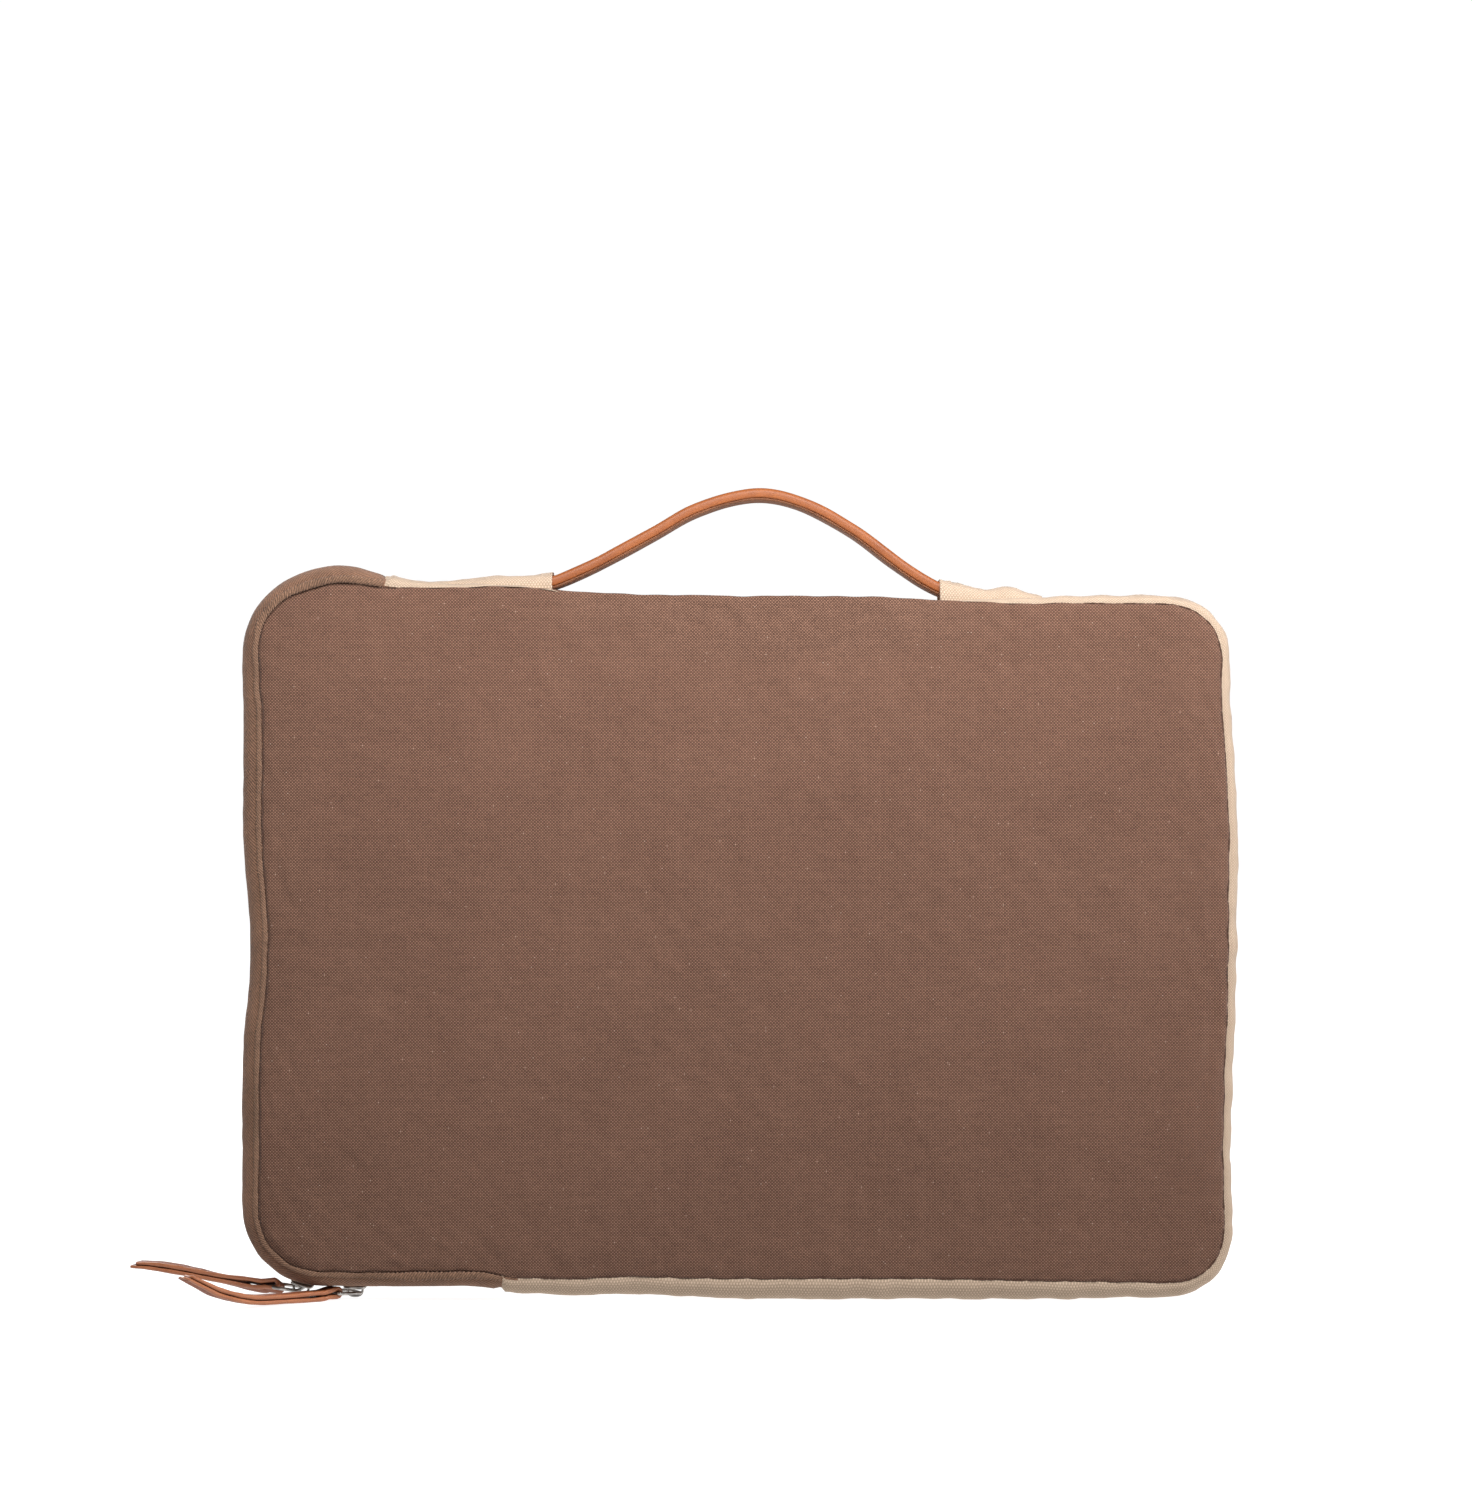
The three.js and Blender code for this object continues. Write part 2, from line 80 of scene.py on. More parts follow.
# How far the front seam lies inside the edge: x, z, inset.
SEAM = [
    (-112, 4.5, 5.4), (-88, 4.5, 5.6), (-66, 0, 6.4), (-36, 0, 6.6), (0, 0, 7.8), (60, 0, 7.9),
    (109, 0, 6.9), (130, 0, 6.2), (150, 2, 5.8), (163, 7, 4.0), (170, 27, 3.2), (170, 68, 3.3),
    (170, 120, 3.5),
    (170, 190, 3.6), (163, 233, 3.2), (140, 240, 2.9), (95, 240, 2.3), (66, 240, -0.3), (0, 240, -0.5),
    (-50, 240, -0.4), (-76, 241.5, 0.5), (-106, 243.6, 1.7), (-121, 247, 3.6), (-128, 248.5, 6.2),
    (-142, 249, 7.2), (-152, 247, 6.2), (-161, 240, 4.9), (-170, 215, 6.6), (-170, 190, 7.4),
    (-170, 150, 7.2), (-170, 100, 6.6), (-170, 60, 6.8), (-162, 12, 5.9),
]
SEAM_Y, CREST_Y = 12.3, 12.9
BACK_INSET = 6.0


# ---- small tools

def wave(seed, size, *axes, parts=9):
    """Smooth seeded waves over the axes, mostly between -1 and 1 and about size across."""
    draw = np.random.default_rng(seed)
    total = 0.0
    for _ in range(parts):
        way = draw.normal(size=len(axes))
        way /= np.linalg.norm(way)
        turn = 2 * math.pi / size * draw.uniform(0.55, 1.7)
        total = total + np.cos(turn * sum(w * a for w, a in zip(way, axes)) + draw.uniform(0, 6.28))
    return total / (0.75 * parts ** 0.5 * 1.4)


def smooth_closed(values, sigma):
    """Values round a closed line, blurred by a Gaussian of sigma steps."""
    reach = int(4 * sigma) + 1
    kernel = np.exp(-0.5 * (np.arange(-reach, reach + 1) / sigma) ** 2)
    kernel /= kernel.sum()
    padded = np.concatenate([values[-reach:], values, values[:reach]])
    return np.stack([np.convolve(padded[:, k], kernel, "valid") for k in range(values.shape[1])], 1)


def lengths(points):
    """Distance along an open line at each of its points."""
    return np.concatenate([[0], np.cumsum(np.linalg.norm(np.diff(points, axis=0), axis=1))])


def resample(points, count):
    """count points evenly along an open line."""
    at = lengths(points)
    where = np.linspace(0, at[-1], count)
    return np.stack([np.interp(where, at, points[:, k]) for k in range(points.shape[1])], 1)


def curve(points, per=10):
    """A smooth line through points (Catmull-Rom), per points a span."""
    p = np.array(points, float)
    p = np.vstack([2 * p[0] - p[1], p, 2 * p[-1] - p[-2]])
    t = np.linspace(0, 1, per, endpoint=False)[:, None]
    line = [0.5 * (2 * b + (c - a) * t + (2 * a - 5 * b + 4 * c - d) * t ** 2
                   + (3 * b - a - 3 * c + d) * t ** 3)
            for a, b, c, d in zip(p, p[1:], p[2:], p[3:])]
    return np.vstack(line + [p[-2:-1]])


def lattice(name, points, loop=False, tube=False, ends=False, uv=None, flip=False, shade=None):
    """A smooth mesh over a grid of points in mm. loop joins the last row to the first, tube the last
    column to the first, ends closes a tube's ends, and shade gives each column's material number."""
    points = np.asarray(points, float)
    rows, cols = points.shape[:2]
    a, b = [k.ravel() for k in np.meshgrid(np.arange(rows - (not loop)),
                                           np.arange(cols - (not tube)), indexing="ij")]
    na, nb = (a + 1) % rows, (b + 1) % cols
    faces = np.stack([a * cols + b, a * cols + nb, na * cols + nb, na * cols + b], 1)
    if uv is None:
        uv = flat_uv(points, loop, tube)
    corner = np.stack([uv[a, b], uv[a, b + 1], uv[a + 1, b + 1], uv[a + 1, b]], 1)
    if flip:
        faces, corner = faces[:, ::-1], corner[:, ::-1]
    faces, corner = faces.tolist(), corner.reshape(-1, 2)
    number = (np.asarray(shade)[b] if shade is not None else np.zeros(len(a), int)).tolist()
    if ends:
        ring = list(range(cols))
        last = [(rows - 1) * cols + k for k in ring]
        faces += [ring if flip else ring[::-1], last[::-1] if flip else last]
        corner = np.vstack([corner, uv[0, :cols][::1 if flip else -1], uv[-1, :cols][::-1 if flip else 1]])
        number += [max(number)] * 2
    return make(name, points.reshape(-1, 3), faces, corner, number)


def flat_uv(points, loop, tube):
    """Lengths along the rows and columns, in metres, so that a weave keeps its size."""
    wide = np.concatenate([points, points[:1]]) if loop else points
    wide = np.concatenate([wide, wide[:, :1]], 1) if tube else wide
    along = lengths(wide.mean(1))
    across = lengths(wide[len(wide) // 2])
    u, v = np.meshgrid(along, across, indexing="ij")
    return np.stack([u, v], 2) * MM


def make(name, points, faces, corner_uv, number=None):
    """The mesh object for points in mm, with its cloth coordinates in metres."""
    data = bpy.data.meshes.new(name)
    data.from_pydata((points * MM).tolist(), [], faces)
    layer = data.uv_layers.new(name="cloth")
    layer.data.foreach_set("uv", np.asarray(corner_uv, np.float32).ravel())
    data.polygons.foreach_set("use_smooth", [True] * len(faces))
    if number is not None:
        data.polygons.foreach_set("material_index", number)
    data.update()
    piece = bpy.data.objects.new(name, data)
    bpy.context.scene.collection.objects.link(piece)
    return piece


def headings(line):
    """Unit directions along an open line."""
    ahead = np.gradient(line, axis=0)
    return ahead / np.linalg.norm(ahead, axis=1)[:, None]


def left_of(ahead):
    """Flat directions turned left by a quarter."""
    return np.stack([-ahead[:, 1], ahead[:, 0]], 1)


def full_turn(count):
    return np.linspace(0, 2 * math.pi, count, endpoint=False)


def squared(values, power):
    """Values raised to a power with their signs kept, which makes a round outline squarer."""
    return np.sign(values) * np.abs(values) ** power


def tube(line, radius, sides=8):
    """Rings of points round a line in space. radius is a number or one for each point."""
    line = np.asarray(line, float)
    ahead = headings(line)
    side = np.cross(ahead, [0.13, 1, 0.21])
    side /= np.linalg.norm(side, axis=1)[:, None]
    up = np.cross(side, ahead)
    turn = full_turn(sides)
    radius = np.broadcast_to(radius, len(line))[:, None, None]
    return (line[:, None] + radius * (np.cos(turn)[None, :, None] * side[:, None]
                                      + np.sin(turn)[None, :, None] * up[:, None]))


def rounded(width, height, top, bottom, steps=4):
    """A section across a strip: x to the side, y up, with top and bottom corner radii."""
    section = []
    corners = [(1, 1, top, 0), (-1, 1, top, 90), (-1, -1, bottom, 180), (1, -1, bottom, 270)]
    for cx, cy, radius, start in corners:
        for k in range(steps + 1):
            turn = math.radians(start + 90 * k / steps)
            section.append((cx * (width / 2 - radius) + radius * math.cos(turn),
                            cy * (height / 2 - radius) + radius * math.sin(turn)))
    return np.array(section)


def rod(name, points, slot, *materials, **settings):
    """A closed tube of rings of points, dressed."""
    return dress(lattice(name, points, tube=True, ends=True, **settings), slot, *materials)


def dress(piece, slot, *materials):
    """Gives a piece its materials. slot is not used."""
    for material in materials:
        piece.data.materials.append(material)
    return piece


# ---- the edge and the seams

def edge_line():
    """The sleeve's edge from the lower fold round the right side and back: points and outward normals."""
    line = []
    for kind, *row in EDGE:
        if kind == "point":
            line.append([row])
        else:
            cx, cz, radius, start, end = row
            turn = np.radians(np.linspace(start, end, 24))
            line.append(np.stack([cx + radius * np.cos(turn), cz + radius * np.sin(turn)], 1))
    line = np.vstack(line + [line[0]])
    line = resample(line, int(lengths(line)[-1] / STEP) + 1)[:-1]
    line = smooth_closed(line, 1.8)
    first = np.argmin(np.hypot(*(line - FOLD_BOTTOM).T))
    line = np.roll(line, -first, axis=0)
    out = outward(line)
    for x, z, depth, reach in DENTS:
        near = np.exp(-0.5 * (np.hypot(*(line - (x, z)).T) / reach) ** 2)
        line = line - out * (depth * near)[:, None]
    soft = 0.1 * wave(3, 30, line[:, 0], line[:, 1])
    line = line + out * soft[:, None]
    line[:, 1] = np.maximum(line[:, 1], 0.15)
    return line, outward(line)


def outward(line):
    """Unit directions away from the inside of a closed line."""
    ahead = np.roll(line, -1, 0) - np.roll(line, 1, 0)
    ahead /= np.linalg.norm(ahead, axis=1)[:, None]
    return np.stack([ahead[:, 1], -ahead[:, 0]], 1)


LINE, OUT = edge_line()
COUNT = len(LINE)
ALONG = np.concatenate([[0], np.cumsum(np.hypot(*np.diff(np.vstack([LINE, LINE[:1]]), axis=0).T))])
TOP_FOLD = int(np.argmin(np.hypot(*(LINE - FOLD_TOP).T)))


def round_values(rows):
    """Values given at places x, z round the edge, for every point of it."""
    at = sorted((ALONG[int(np.argmin(np.hypot(*(LINE - row[:2]).T)))], row[2]) for row in rows)
    s, v = np.array(at).T
    s = np.concatenate([[s[-1] - ALONG[-1]], s, [s[0] + ALONG[-1]]])
    v = np.concatenate([[v[-1]], v, [v[0]]])
    found = np.interp(ALONG[:-1], s, v)
    return smooth_closed(found[:, None], 5)[:, 0]


FRONT_INSET = round_values(SEAM) + 0.12 * wave(5, 19, ALONG[:-1])
BACK = np.full(COUNT, BACK_INSET) + 0.3 * wave(6, 17, ALONG[:-1])


def seam_line(inset):
    """The closed line that lies inset inside the edge."""
    return LINE - OUT * np.maximum(inset, -0.5)[:, None]


def sweep(rows, profile):
    """Points over a stretch of the edge. profile(i) gives (outward, y) pairs at edge point i."""
    made = []
    for i in rows:
        i = i % COUNT
        section = np.array(profile(i), float)
        flat = LINE[i] + section[:, :1] * OUT[i]
        made.append(np.stack([flat[:, 0], section[:, 1], flat[:, 1]], 1))
    return np.array(made)


def push_out(points, out, far):
    """Moves a swept band's points outward."""
    points[..., 0] += out[:, :1] * far
    points[..., 2] += out[:, 1:] * far
    return points


SEAM_DIP = 0.6


def shoulder(inset, steps=11):
    """The rolled edge from the seam to the edge's side, for one face: (outward, depth) pairs."""
    inset = max(inset, 0.4)
    drop = 3.4 + 0.5 * inset
    turn = np.linspace(0, math.pi / 2, steps)
    out = -inset + inset * np.sin(turn) ** 1.15
    deep = CREST_Y - drop + drop * np.cos(turn) ** 0.85
    near = np.exp(-((out + inset) / 1.3) ** 2)
    return np.stack([out, deep - SEAM_DIP * near * min(1.0, inset / 2)], 1)


# ---- materials

class Nodes:
    """Short ways to add nodes to a tree. Numbers and sockets are both taken as inputs."""

    def __init__(self, tree):
        self.tree = tree

    def put(self, socket, value):
        if isinstance(value, bpy.types.NodeSocket):
            self.tree.links.new(value, socket)
        else:
            socket.default_value = value

    def add(self, kind, inputs=(), **settings):
        made = self.tree.nodes.new("ShaderNode" + kind)
        for key, value in settings.items():
            setattr(made, key, value)
        for key, value in dict(inputs).items():
            self.put(made.inputs[key], value)
        return made

    def math(self, operation, a, b=0.0, c=0.0):
        return self.add("Math", {0: a, 1: b, 2: c}, operation=operation).outputs[0]

    def plus(self, a, b):
        return self.math("ADD", a, b)

    def minus(self, a, b):
        return self.math("SUBTRACT", a, b)

    def times(self, a, b):
        return self.math("MULTIPLY", a, b)

    def sway(self, value, amount, middle=0.5):
        """Up to half of amount to either side of zero, as value goes to either side of its middle."""
        return self.times(self.minus(value, middle), amount)

    def strands(self, count):
        """A round strand over each whole number of count: 0 at its sides and 1 on top."""
        return self.math("SINE", self.times(self.math("FRACT", count), math.pi))

    def mix(self, share, a, b):
        """Two colours, or sockets that give them, mixed."""
        a, b = (color(*k) if isinstance(k, tuple) else k for k in (a, b))
        return self.add("Mix", {0: share, 6: a, 7: b}, data_type="RGBA").outputs[2]

    def join(self, x, y, z=0.0):
        return self.add("CombineXYZ", {0: x, 1: y, 2: z}).outputs[0]

    def noise(self, size, where, detail=3.0, rough=0.55):
        """Smooth noise from 0 to 1, size across in mm where the coordinates are in metres."""
        inputs = {"Vector": where, "Scale": 1 / (size * MM), "Detail": detail, "Roughness": rough}
        return self.add("TexNoise", inputs).outputs[0]

    def spot(self, x, y, z=0.0):
        return self.add("TexWhiteNoise", {"Vector": self.join(x, y, z)}).outputs["Value"]

    def ramp(self, share, low, high):
        """share from low to high made 0 to 1."""
        return self.add("MapRange", {0: share, 1: low, 2: high}).outputs[0]


class Paint(Nodes):
    """A material. Colours are red, green and blue, linear."""

    def __init__(self, name, **sockets):
        self.material = bpy.data.materials.new(name)
        self.material.use_nodes = True
        super().__init__(self.material.node_tree)
        self.shader = self.tree.nodes["Principled BSDF"]
        for socket, value in sockets.items():
            self.shader.inputs[socket.replace("_", " ")].default_value = value

    def cloth(self):
        """u and v in metres."""
        uv = self.add("UVMap", uv_map="cloth")
        split = self.add("SeparateXYZ", {0: uv.outputs[0]})
        return split.outputs[0], split.outputs[1]

    def place(self):
        """The piece's own coordinates in metres."""
        return self.add("TexCoord").outputs["Object"]

    def finish(self, color, rough=None, height=None, strength=0.5, distance=0.2):
        self.put(self.shader.inputs["Base Color"], color)
        if rough is not None:
            self.put(self.shader.inputs["Roughness"], rough)
        if height is not None:
            bump = self.add("Bump", {"Strength": strength, "Distance": distance * MM, "Height": height})
            self.put(self.shader.inputs["Normal"], bump.outputs[0])
        return self.material


def color(r, g, b):
    """A linear colour."""
    return (r, g, b, 1.0)


def woven(name, pale, dark, pitch, contrast=0.55, fleck=0.5, fleck_color=None, strength=0.6):
    """Plain-woven cloth: threads pitch mm apart, over and under in turn, with uneven yarn, flecks, and
    painted shade where the threads dip.
    """
    p = Paint(name, Sheen_Weight=0.15, Sheen_Roughness=0.5, Specular_IOR_Level=0.2)
    u, v = p.cloth()
    bend = p.sway(p.noise(9, p.join(u, v), 2), 0.8)
    tu, tv = (p.plus(p.times(way, 1 / (pitch * MM)), bend) for way in (u, v))
    iu, iv = p.math("FLOOR", tu), p.math("FLOOR", tv)
    across, along = p.strands(tu), p.strands(tv)
    odd = p.math("PINGPONG", p.plus(iu, iv), 1.0)
    warp = p.plus(p.times(across, 0.75), p.times(along, 0.35))
    weft = p.plus(p.times(along, 0.75), p.times(across, 0.35))
    height = p.plus(p.times(warp, p.minus(1.0, odd)), p.times(weft, odd))
    cell = p.spot(iu, iv, 5.0)
    tone = p.plus(p.times(odd, contrast), p.times(cell, 0.18))
    tone = p.plus(tone, p.times(p.plus(p.spot(iu, 3.0), p.spot(7.0, iv)), 0.035))
    # The colour is multiplied by the weave's height: painted shade, darker where the threads dip.
    tone = p.times(p.plus(tone, 0.36 - 0.5 * contrast), p.ramp(height, 0.1, 0.95))
    tone = p.plus(tone, p.sway(p.noise(38, p.place(), 3), 0.14))
    tone = p.plus(tone, p.sway(p.noise(2.4, p.join(p.times(u, 0.3), v), 2), 0.13))
    rare = p.math("GREATER_THAN", p.spot(iu, iv, 11.0), 0.9987)
    speck = p.times(rare, p.times(p.ramp(height, 0.75, 1.05), fleck))
    shade = p.mix(speck, p.mix(tone, dark, pale), fleck_color or pale)
    return p.finish(shade, p.plus(0.78, p.times(cell, 0.15)), height, strength, 0.16)


def twill(name, pale, dark, pitch, strength=0.5):
    """Tape with fine diagonal ribs, with painted shade in the grooves between them."""
    p = Paint(name, Sheen_Weight=0.12, Sheen_Roughness=0.5, Specular_IOR_Level=0.25)
    u, v = p.cloth()
    slant = p.times(p.plus(u, v), 1 / (pitch * MM))
    fine = p.times(p.minus(u, v), 1 / (0.42 * pitch * MM))
    rib = p.strands(slant)
    height = p.plus(rib, p.times(p.strands(fine), 0.3))
    cell = p.spot(p.math("FLOOR", slant), p.math("FLOOR", fine))
    # Painted shade: the ribs' tops are lighter and the grooves between them darker.
    tone = p.plus(p.times(rib, 0.55), p.times(cell, 0.25))
    tone = p.plus(tone, p.sway(p.noise(14, p.place(), 3), 0.6, 0.4))
    return p.finish(p.mix(tone, dark, pale), p.plus(0.75, p.times(cell, 0.15)), height, strength, 0.2)


def hide(name, pale, dark, rough=0.45, pore=0.9, strength=0.35, coat=0.08, gloss=0.4):
    """Leather: a pebbled grain with painted shade in its creases, cloudy dye and a soft polish."""
    p = Paint(name, Coat_Weight=coat, Coat_Roughness=0.35, Specular_IOR_Level=gloss)
    where = p.place()
    cells = p.add("TexVoronoi", {"Vector": where, "Scale": 1 / (pore * MM)}, feature="DISTANCE_TO_EDGE")
    crease = p.ramp(cells.outputs["Distance"], 0.0, 0.22)
    fine = p.noise(0.35, where, 3)
    cloud = p.noise(7, where, 4)
    # Painted shade: the grain's creases are darker.
    tone = p.plus(p.times(cloud, 0.9), p.times(crease, 0.3))
    tone = p.minus(p.plus(tone, p.times(fine, 0.15)), 0.25)
    height = p.plus(crease, p.times(fine, 0.5))
    return p.finish(p.mix(tone, dark, pale), p.plus(rough, p.sway(cloud, 0.3)), height, strength, 0.1)


def fibrous(name, pale, dark, size=0.7):
    """Raw edges and the flesh side: short matted fibres."""
    p = Paint(name, Specular_IOR_Level=0.15, Sheen_Weight=0.1)
    where = p.place()
    hair = p.noise(size, where, 5, 0.7)
    tone = p.plus(p.times(hair, 0.8), p.times(p.noise(5, where, 3), 0.5))
    return p.finish(p.mix(p.ramp(tone, 0.35, 0.95), dark, pale), 0.9, hair, 0.5, 0.12)


def metal(name, tone):
    """Dark plated wire, brighter in patches: rubbed plating and painted highlights."""
    p = Paint(name, Metallic=1.0)
    where = p.place()
    # Brighter patches: rubbed plating, and painted highlights.
    rub_and_glint = p.noise(3.5, where, 4)
    pale = tuple(min(1.0, 2.8 * c) for c in tone)
    shine = p.plus(0.2, p.times(rub_and_glint, 0.25))
    return p.finish(p.mix(p.ramp(rub_and_glint, 0.45, 0.8), tone, pale), shine, p.noise(0.3, where, 2), 0.1, 0.05)


def twisted(name, pale, dark, pitch=0.8):
    """Thread: ply marks along its length, painted darker in the grooves between the plies as shade."""
    p = Paint(name, Specular_IOR_Level=0.25)
    u, v = p.cloth()
    ply = p.strands(p.times(p.plus(u, v), 1 / (pitch * MM)))
    # Painted shade: darker in the grooves between the plies.
    tone = p.plus(p.times(ply, 0.6), p.times(p.noise(0.5, p.place(), 3), 0.5))
    return p.finish(p.mix(tone, dark, pale), 0.8, ply, 0.4, 0.08)


def plastic(name, pale, dark):
    """Nylon of the zip's coil."""
    p = Paint(name, Specular_IOR_Level=0.5)
    cloud = p.noise(1.5, p.place(), 3)
    return p.finish(p.mix(cloud, dark, pale), p.plus(0.35, p.times(cloud, 0.2)), cloud, 0.1, 0.05)


BROWN = woven("brown canvas", (0.36, 0.193, 0.129), (0.055, 0.024, 0.0155), 0.54, fleck=0.7,
              fleck_color=(0.62, 0.46, 0.36))
NATURAL = woven("natural canvas", (0.73, 0.565, 0.425), (0.38, 0.275, 0.198), 0.52, 0.6,
                fleck=0.4, fleck_color=(0.95, 0.85, 0.72), strength=0.5)
LINING = woven("lining cloth", (0.3, 0.2, 0.14), (0.14, 0.09, 0.06), 0.4, 0.3, fleck=0.1, strength=0.3)
TAPE = twill("zip tape", (0.38, 0.2, 0.122), (0.046, 0.023, 0.0145), 1.15, 0.9)
RIB = twill("ribbed tape edge", (0.35, 0.195, 0.122), (0.045, 0.024, 0.016), 1.0, 0.7)
BINDING = twill("seam binding", (0.3, 0.19, 0.13), (0.12, 0.07, 0.05), 0.8)
LEATHER = hide("tan leather", (0.42, 0.125, 0.026), (0.21, 0.055, 0.015), 0.46,
               pore=0.5, strength=0.15)
FLESH = fibrous("flesh side", (0.3, 0.125, 0.06), (0.15, 0.055, 0.025))
PULL_FLESH = fibrous("flesh of the pulls", (0.15, 0.045, 0.02), (0.07, 0.02, 0.01))
# Glue between the pull's layers, a darker copy of the pulls' flesh: painted shade in the gap between the
# layers.
SHADED_GLUE = fibrous("glued flesh in painted shade", (0.06, 0.02, 0.01), (0.03, 0.01, 0.006))
RAW = fibrous("raw leather edge", (0.5, 0.24, 0.13), (0.24, 0.09, 0.045), 0.5)
STEEL = metal("dark metal", (0.27, 0.255, 0.24))
COIL = plastic("coil nylon", (0.2, 0.12, 0.08), (0.07, 0.04, 0.03))
PULL_HIDE = hide("pull leather", (0.33, 0.1, 0.038), (0.15, 0.042, 0.018), 0.6,
                 pore=0.5, strength=0.2, coat=0.0, gloss=0.12)
BURNISHED = hide("burnished edge", (0.62, 0.235, 0.1), (0.3, 0.09, 0.036), 0.36,
                 pore=0.45, strength=0.15, coat=0.2)
# Dark seam thread, also used as painted shade along the seam's crevice.
THREAD_AND_SHADE = twisted("dark thread and painted seam shade", (0.12, 0.06, 0.04), (0.03, 0.015, 0.01))


# ---- panels

PANEL_ACROSS, PANEL_UP = 136, 96
PANEL_CORNERS = [(-162, 12), (163, 7), (163, 233), (-161, 240)]


def patch(border, across=PANEL_ACROSS, up=PANEL_UP):
    """A grid over the inside of a closed border (a Coons patch): the grid's points x, z."""
    at = [int(np.argmin(np.hypot(*(LINE - c).T))) for c in PANEL_CORNERS]
    sides = []
    for a, b, count in zip(at, at[1:] + at[:1], [across, up, across, up]):
        stretch = np.vstack([border[a:], border[:b + 1]]) if b < a else border[a:b + 1]
        sides.append(resample(stretch, count + 1))
    low, right, top, left = sides[0], sides[1], sides[2][::-1], sides[3][::-1]
    u = np.linspace(0, 1, across + 1)[:, None, None]
    v = np.linspace(0, 1, up + 1)[None, :, None]
    grid = (1 - v) * low[:, None] + v * top[:, None] + (1 - u) * left[None] + u * right[None]
    return grid - ((1 - u) * (1 - v) * low[0] + u * (1 - v) * low[-1]
                   + (1 - u) * v * top[0] + u * v * top[-1])


def to_border(grid, border):
    """Each grid point's distance to the border, and how far along the border that is."""
    flat = grid.reshape(-1, 2)
    near = np.zeros(len(flat), int)
    away = np.zeros(len(flat))
    for k in range(0, len(flat), 4000):
        gap = np.hypot(*(flat[k:k + 4000, None] - border[None]).transpose(2, 0, 1))
        near[k:k + 4000] = gap.argmin(1)
        away[k:k + 4000] = gap.min(1)
    return away.reshape(grid.shape[:2]), ALONG[near].reshape(grid.shape[:2])


def finer(values):
    """A grid of values with a new point between each two, on a smooth curve."""
    for axis in (0, 1):
        v = np.moveaxis(values, axis, 0)
        wide = np.concatenate([2 * v[:1] - v[1:2], v, 2 * v[-1:] - v[-2:-1]])
        mid = (9 * (wide[1:-2] + wide[2:-1]) - wide[:-3] - wide[3:]) / 16
        out = np.empty((2 * len(v) - 1,) + v.shape[1:])
        out[::2], out[1::2] = v, mid
        values = np.moveaxis(out, 0, axis)
    return values


def puff(away, x, z):
    """How far a panel's cloth stands off its seam, in mm: a rolled edge and a slight crown."""
    edge = 0.95 * (1 - np.exp(-away / 1.5)) + 0.5 * (1 - np.exp(-away / 10))
    wide = np.clip(1 - np.abs(x / 172) ** 2.6, 0, 1)
    high = np.clip(1 - np.abs(z / 118 - 1) ** 2.6, 0, 1)
    return edge + 1.2 * wide * high


SETTLE_FRAMES = 18


def settle(grid, deep, away, face):
    """The cloth let go for a moment: a little too big for its frame, held at its seam and on its foam.
    Gives how far each point moved."""
    count = deep.size
    points = np.stack([grid[..., 0], -deep, grid[..., 1]], 2)
    cloth = lattice("settling", points, uv=flat_uv(points, False, False))
    group = cloth.vertex_groups.new(name="held")
    hold = np.where(away.ravel() < 0.6, 1.0, 0.05 + 0.1 * np.exp(-away.ravel() / 30))
    for k in range(count):
        group.add([k], float(hold[k]), "REPLACE")
    soft = cloth.modifiers.new("Cloth", "CLOTH")
    soft.settings.quality = 4
    soft.settings.mass = 0.25
    soft.settings.tension_stiffness = soft.settings.compression_stiffness = 12
    soft.settings.bending_stiffness = 0.02
    soft.settings.vertex_group_mass = "held"
    soft.settings.pin_stiffness = 0.6
    soft.settings.shrink_min = -0.012
    soft.settings.effector_weights.gravity = 0.0
    soft.settings.use_pressure = True
    soft.settings.uniform_pressure_force = -0.15 * face
    soft.point_cache.frame_start, soft.point_cache.frame_end = 1, SETTLE_FRAMES
    for number in range(1, SETTLE_FRAMES + 1):
        bpy.context.scene.frame_set(number)
    shaped = cloth.evaluated_get(bpy.context.evaluated_depsgraph_get()).to_mesh()
    found = np.empty(count * 3)
    shaped.vertices.foreach_get("co", found)
    bpy.data.objects.remove(cloth)
    bpy.context.scene.frame_set(1)
    moved = found.reshape(points.shape) / MM - points
    return 0.45 * np.clip(np.nan_to_num(moved), -2.5, 2.5)


def panel(name, inset, face, seed):
    """One padded face: canvas over foam, closed at its seam. face is -1 in front and 1 behind."""
    border = seam_line(inset)
    grid = patch(border)
    away, _ = to_border(grid, border)
    deep = SEAM_Y - 0.2 + puff(away, grid[..., 0], grid[..., 1])
    moved = np.zeros(grid.shape[:2] + (3,))
    moved = settle(grid, deep, away, face)
    grid, deep, moved = finer(grid), finer(deep), finer(moved)
    away, along = to_border(grid, border)
    x, z = grid[..., 0], grid[..., 1]
    loose = np.clip(away / 2.5, 0, 1)
    deep = deep - moved[..., 1] * loose
    deep = deep + loose * (0.25 * wave(seed + 20, 85, x, z) + 0.08 * wave(seed + 21, 30, x, z)
                           + 0.03 * wave(seed + 22, 9, x, z))
    pucker = np.exp(-away / 5) * (1 - np.exp(-away / 0.8))
    deep = deep + pucker * (0.24 * wave(seed + 23, 11, along, 0.25 * away)
                            + 0.12 * wave(seed + 24, 5, along, away * 0.3))
    x, z = x + moved[..., 0] * loose, z + moved[..., 2] * loose
    front = np.stack([x, face * deep, z], 2)
    under = finer(patch(seam_line(inset + 0.5)))
    inner = np.stack([under[..., 0], np.full(x.shape, face * 9.7), under[..., 1]], 2)
    return closed_pad(name, front, inner, face)


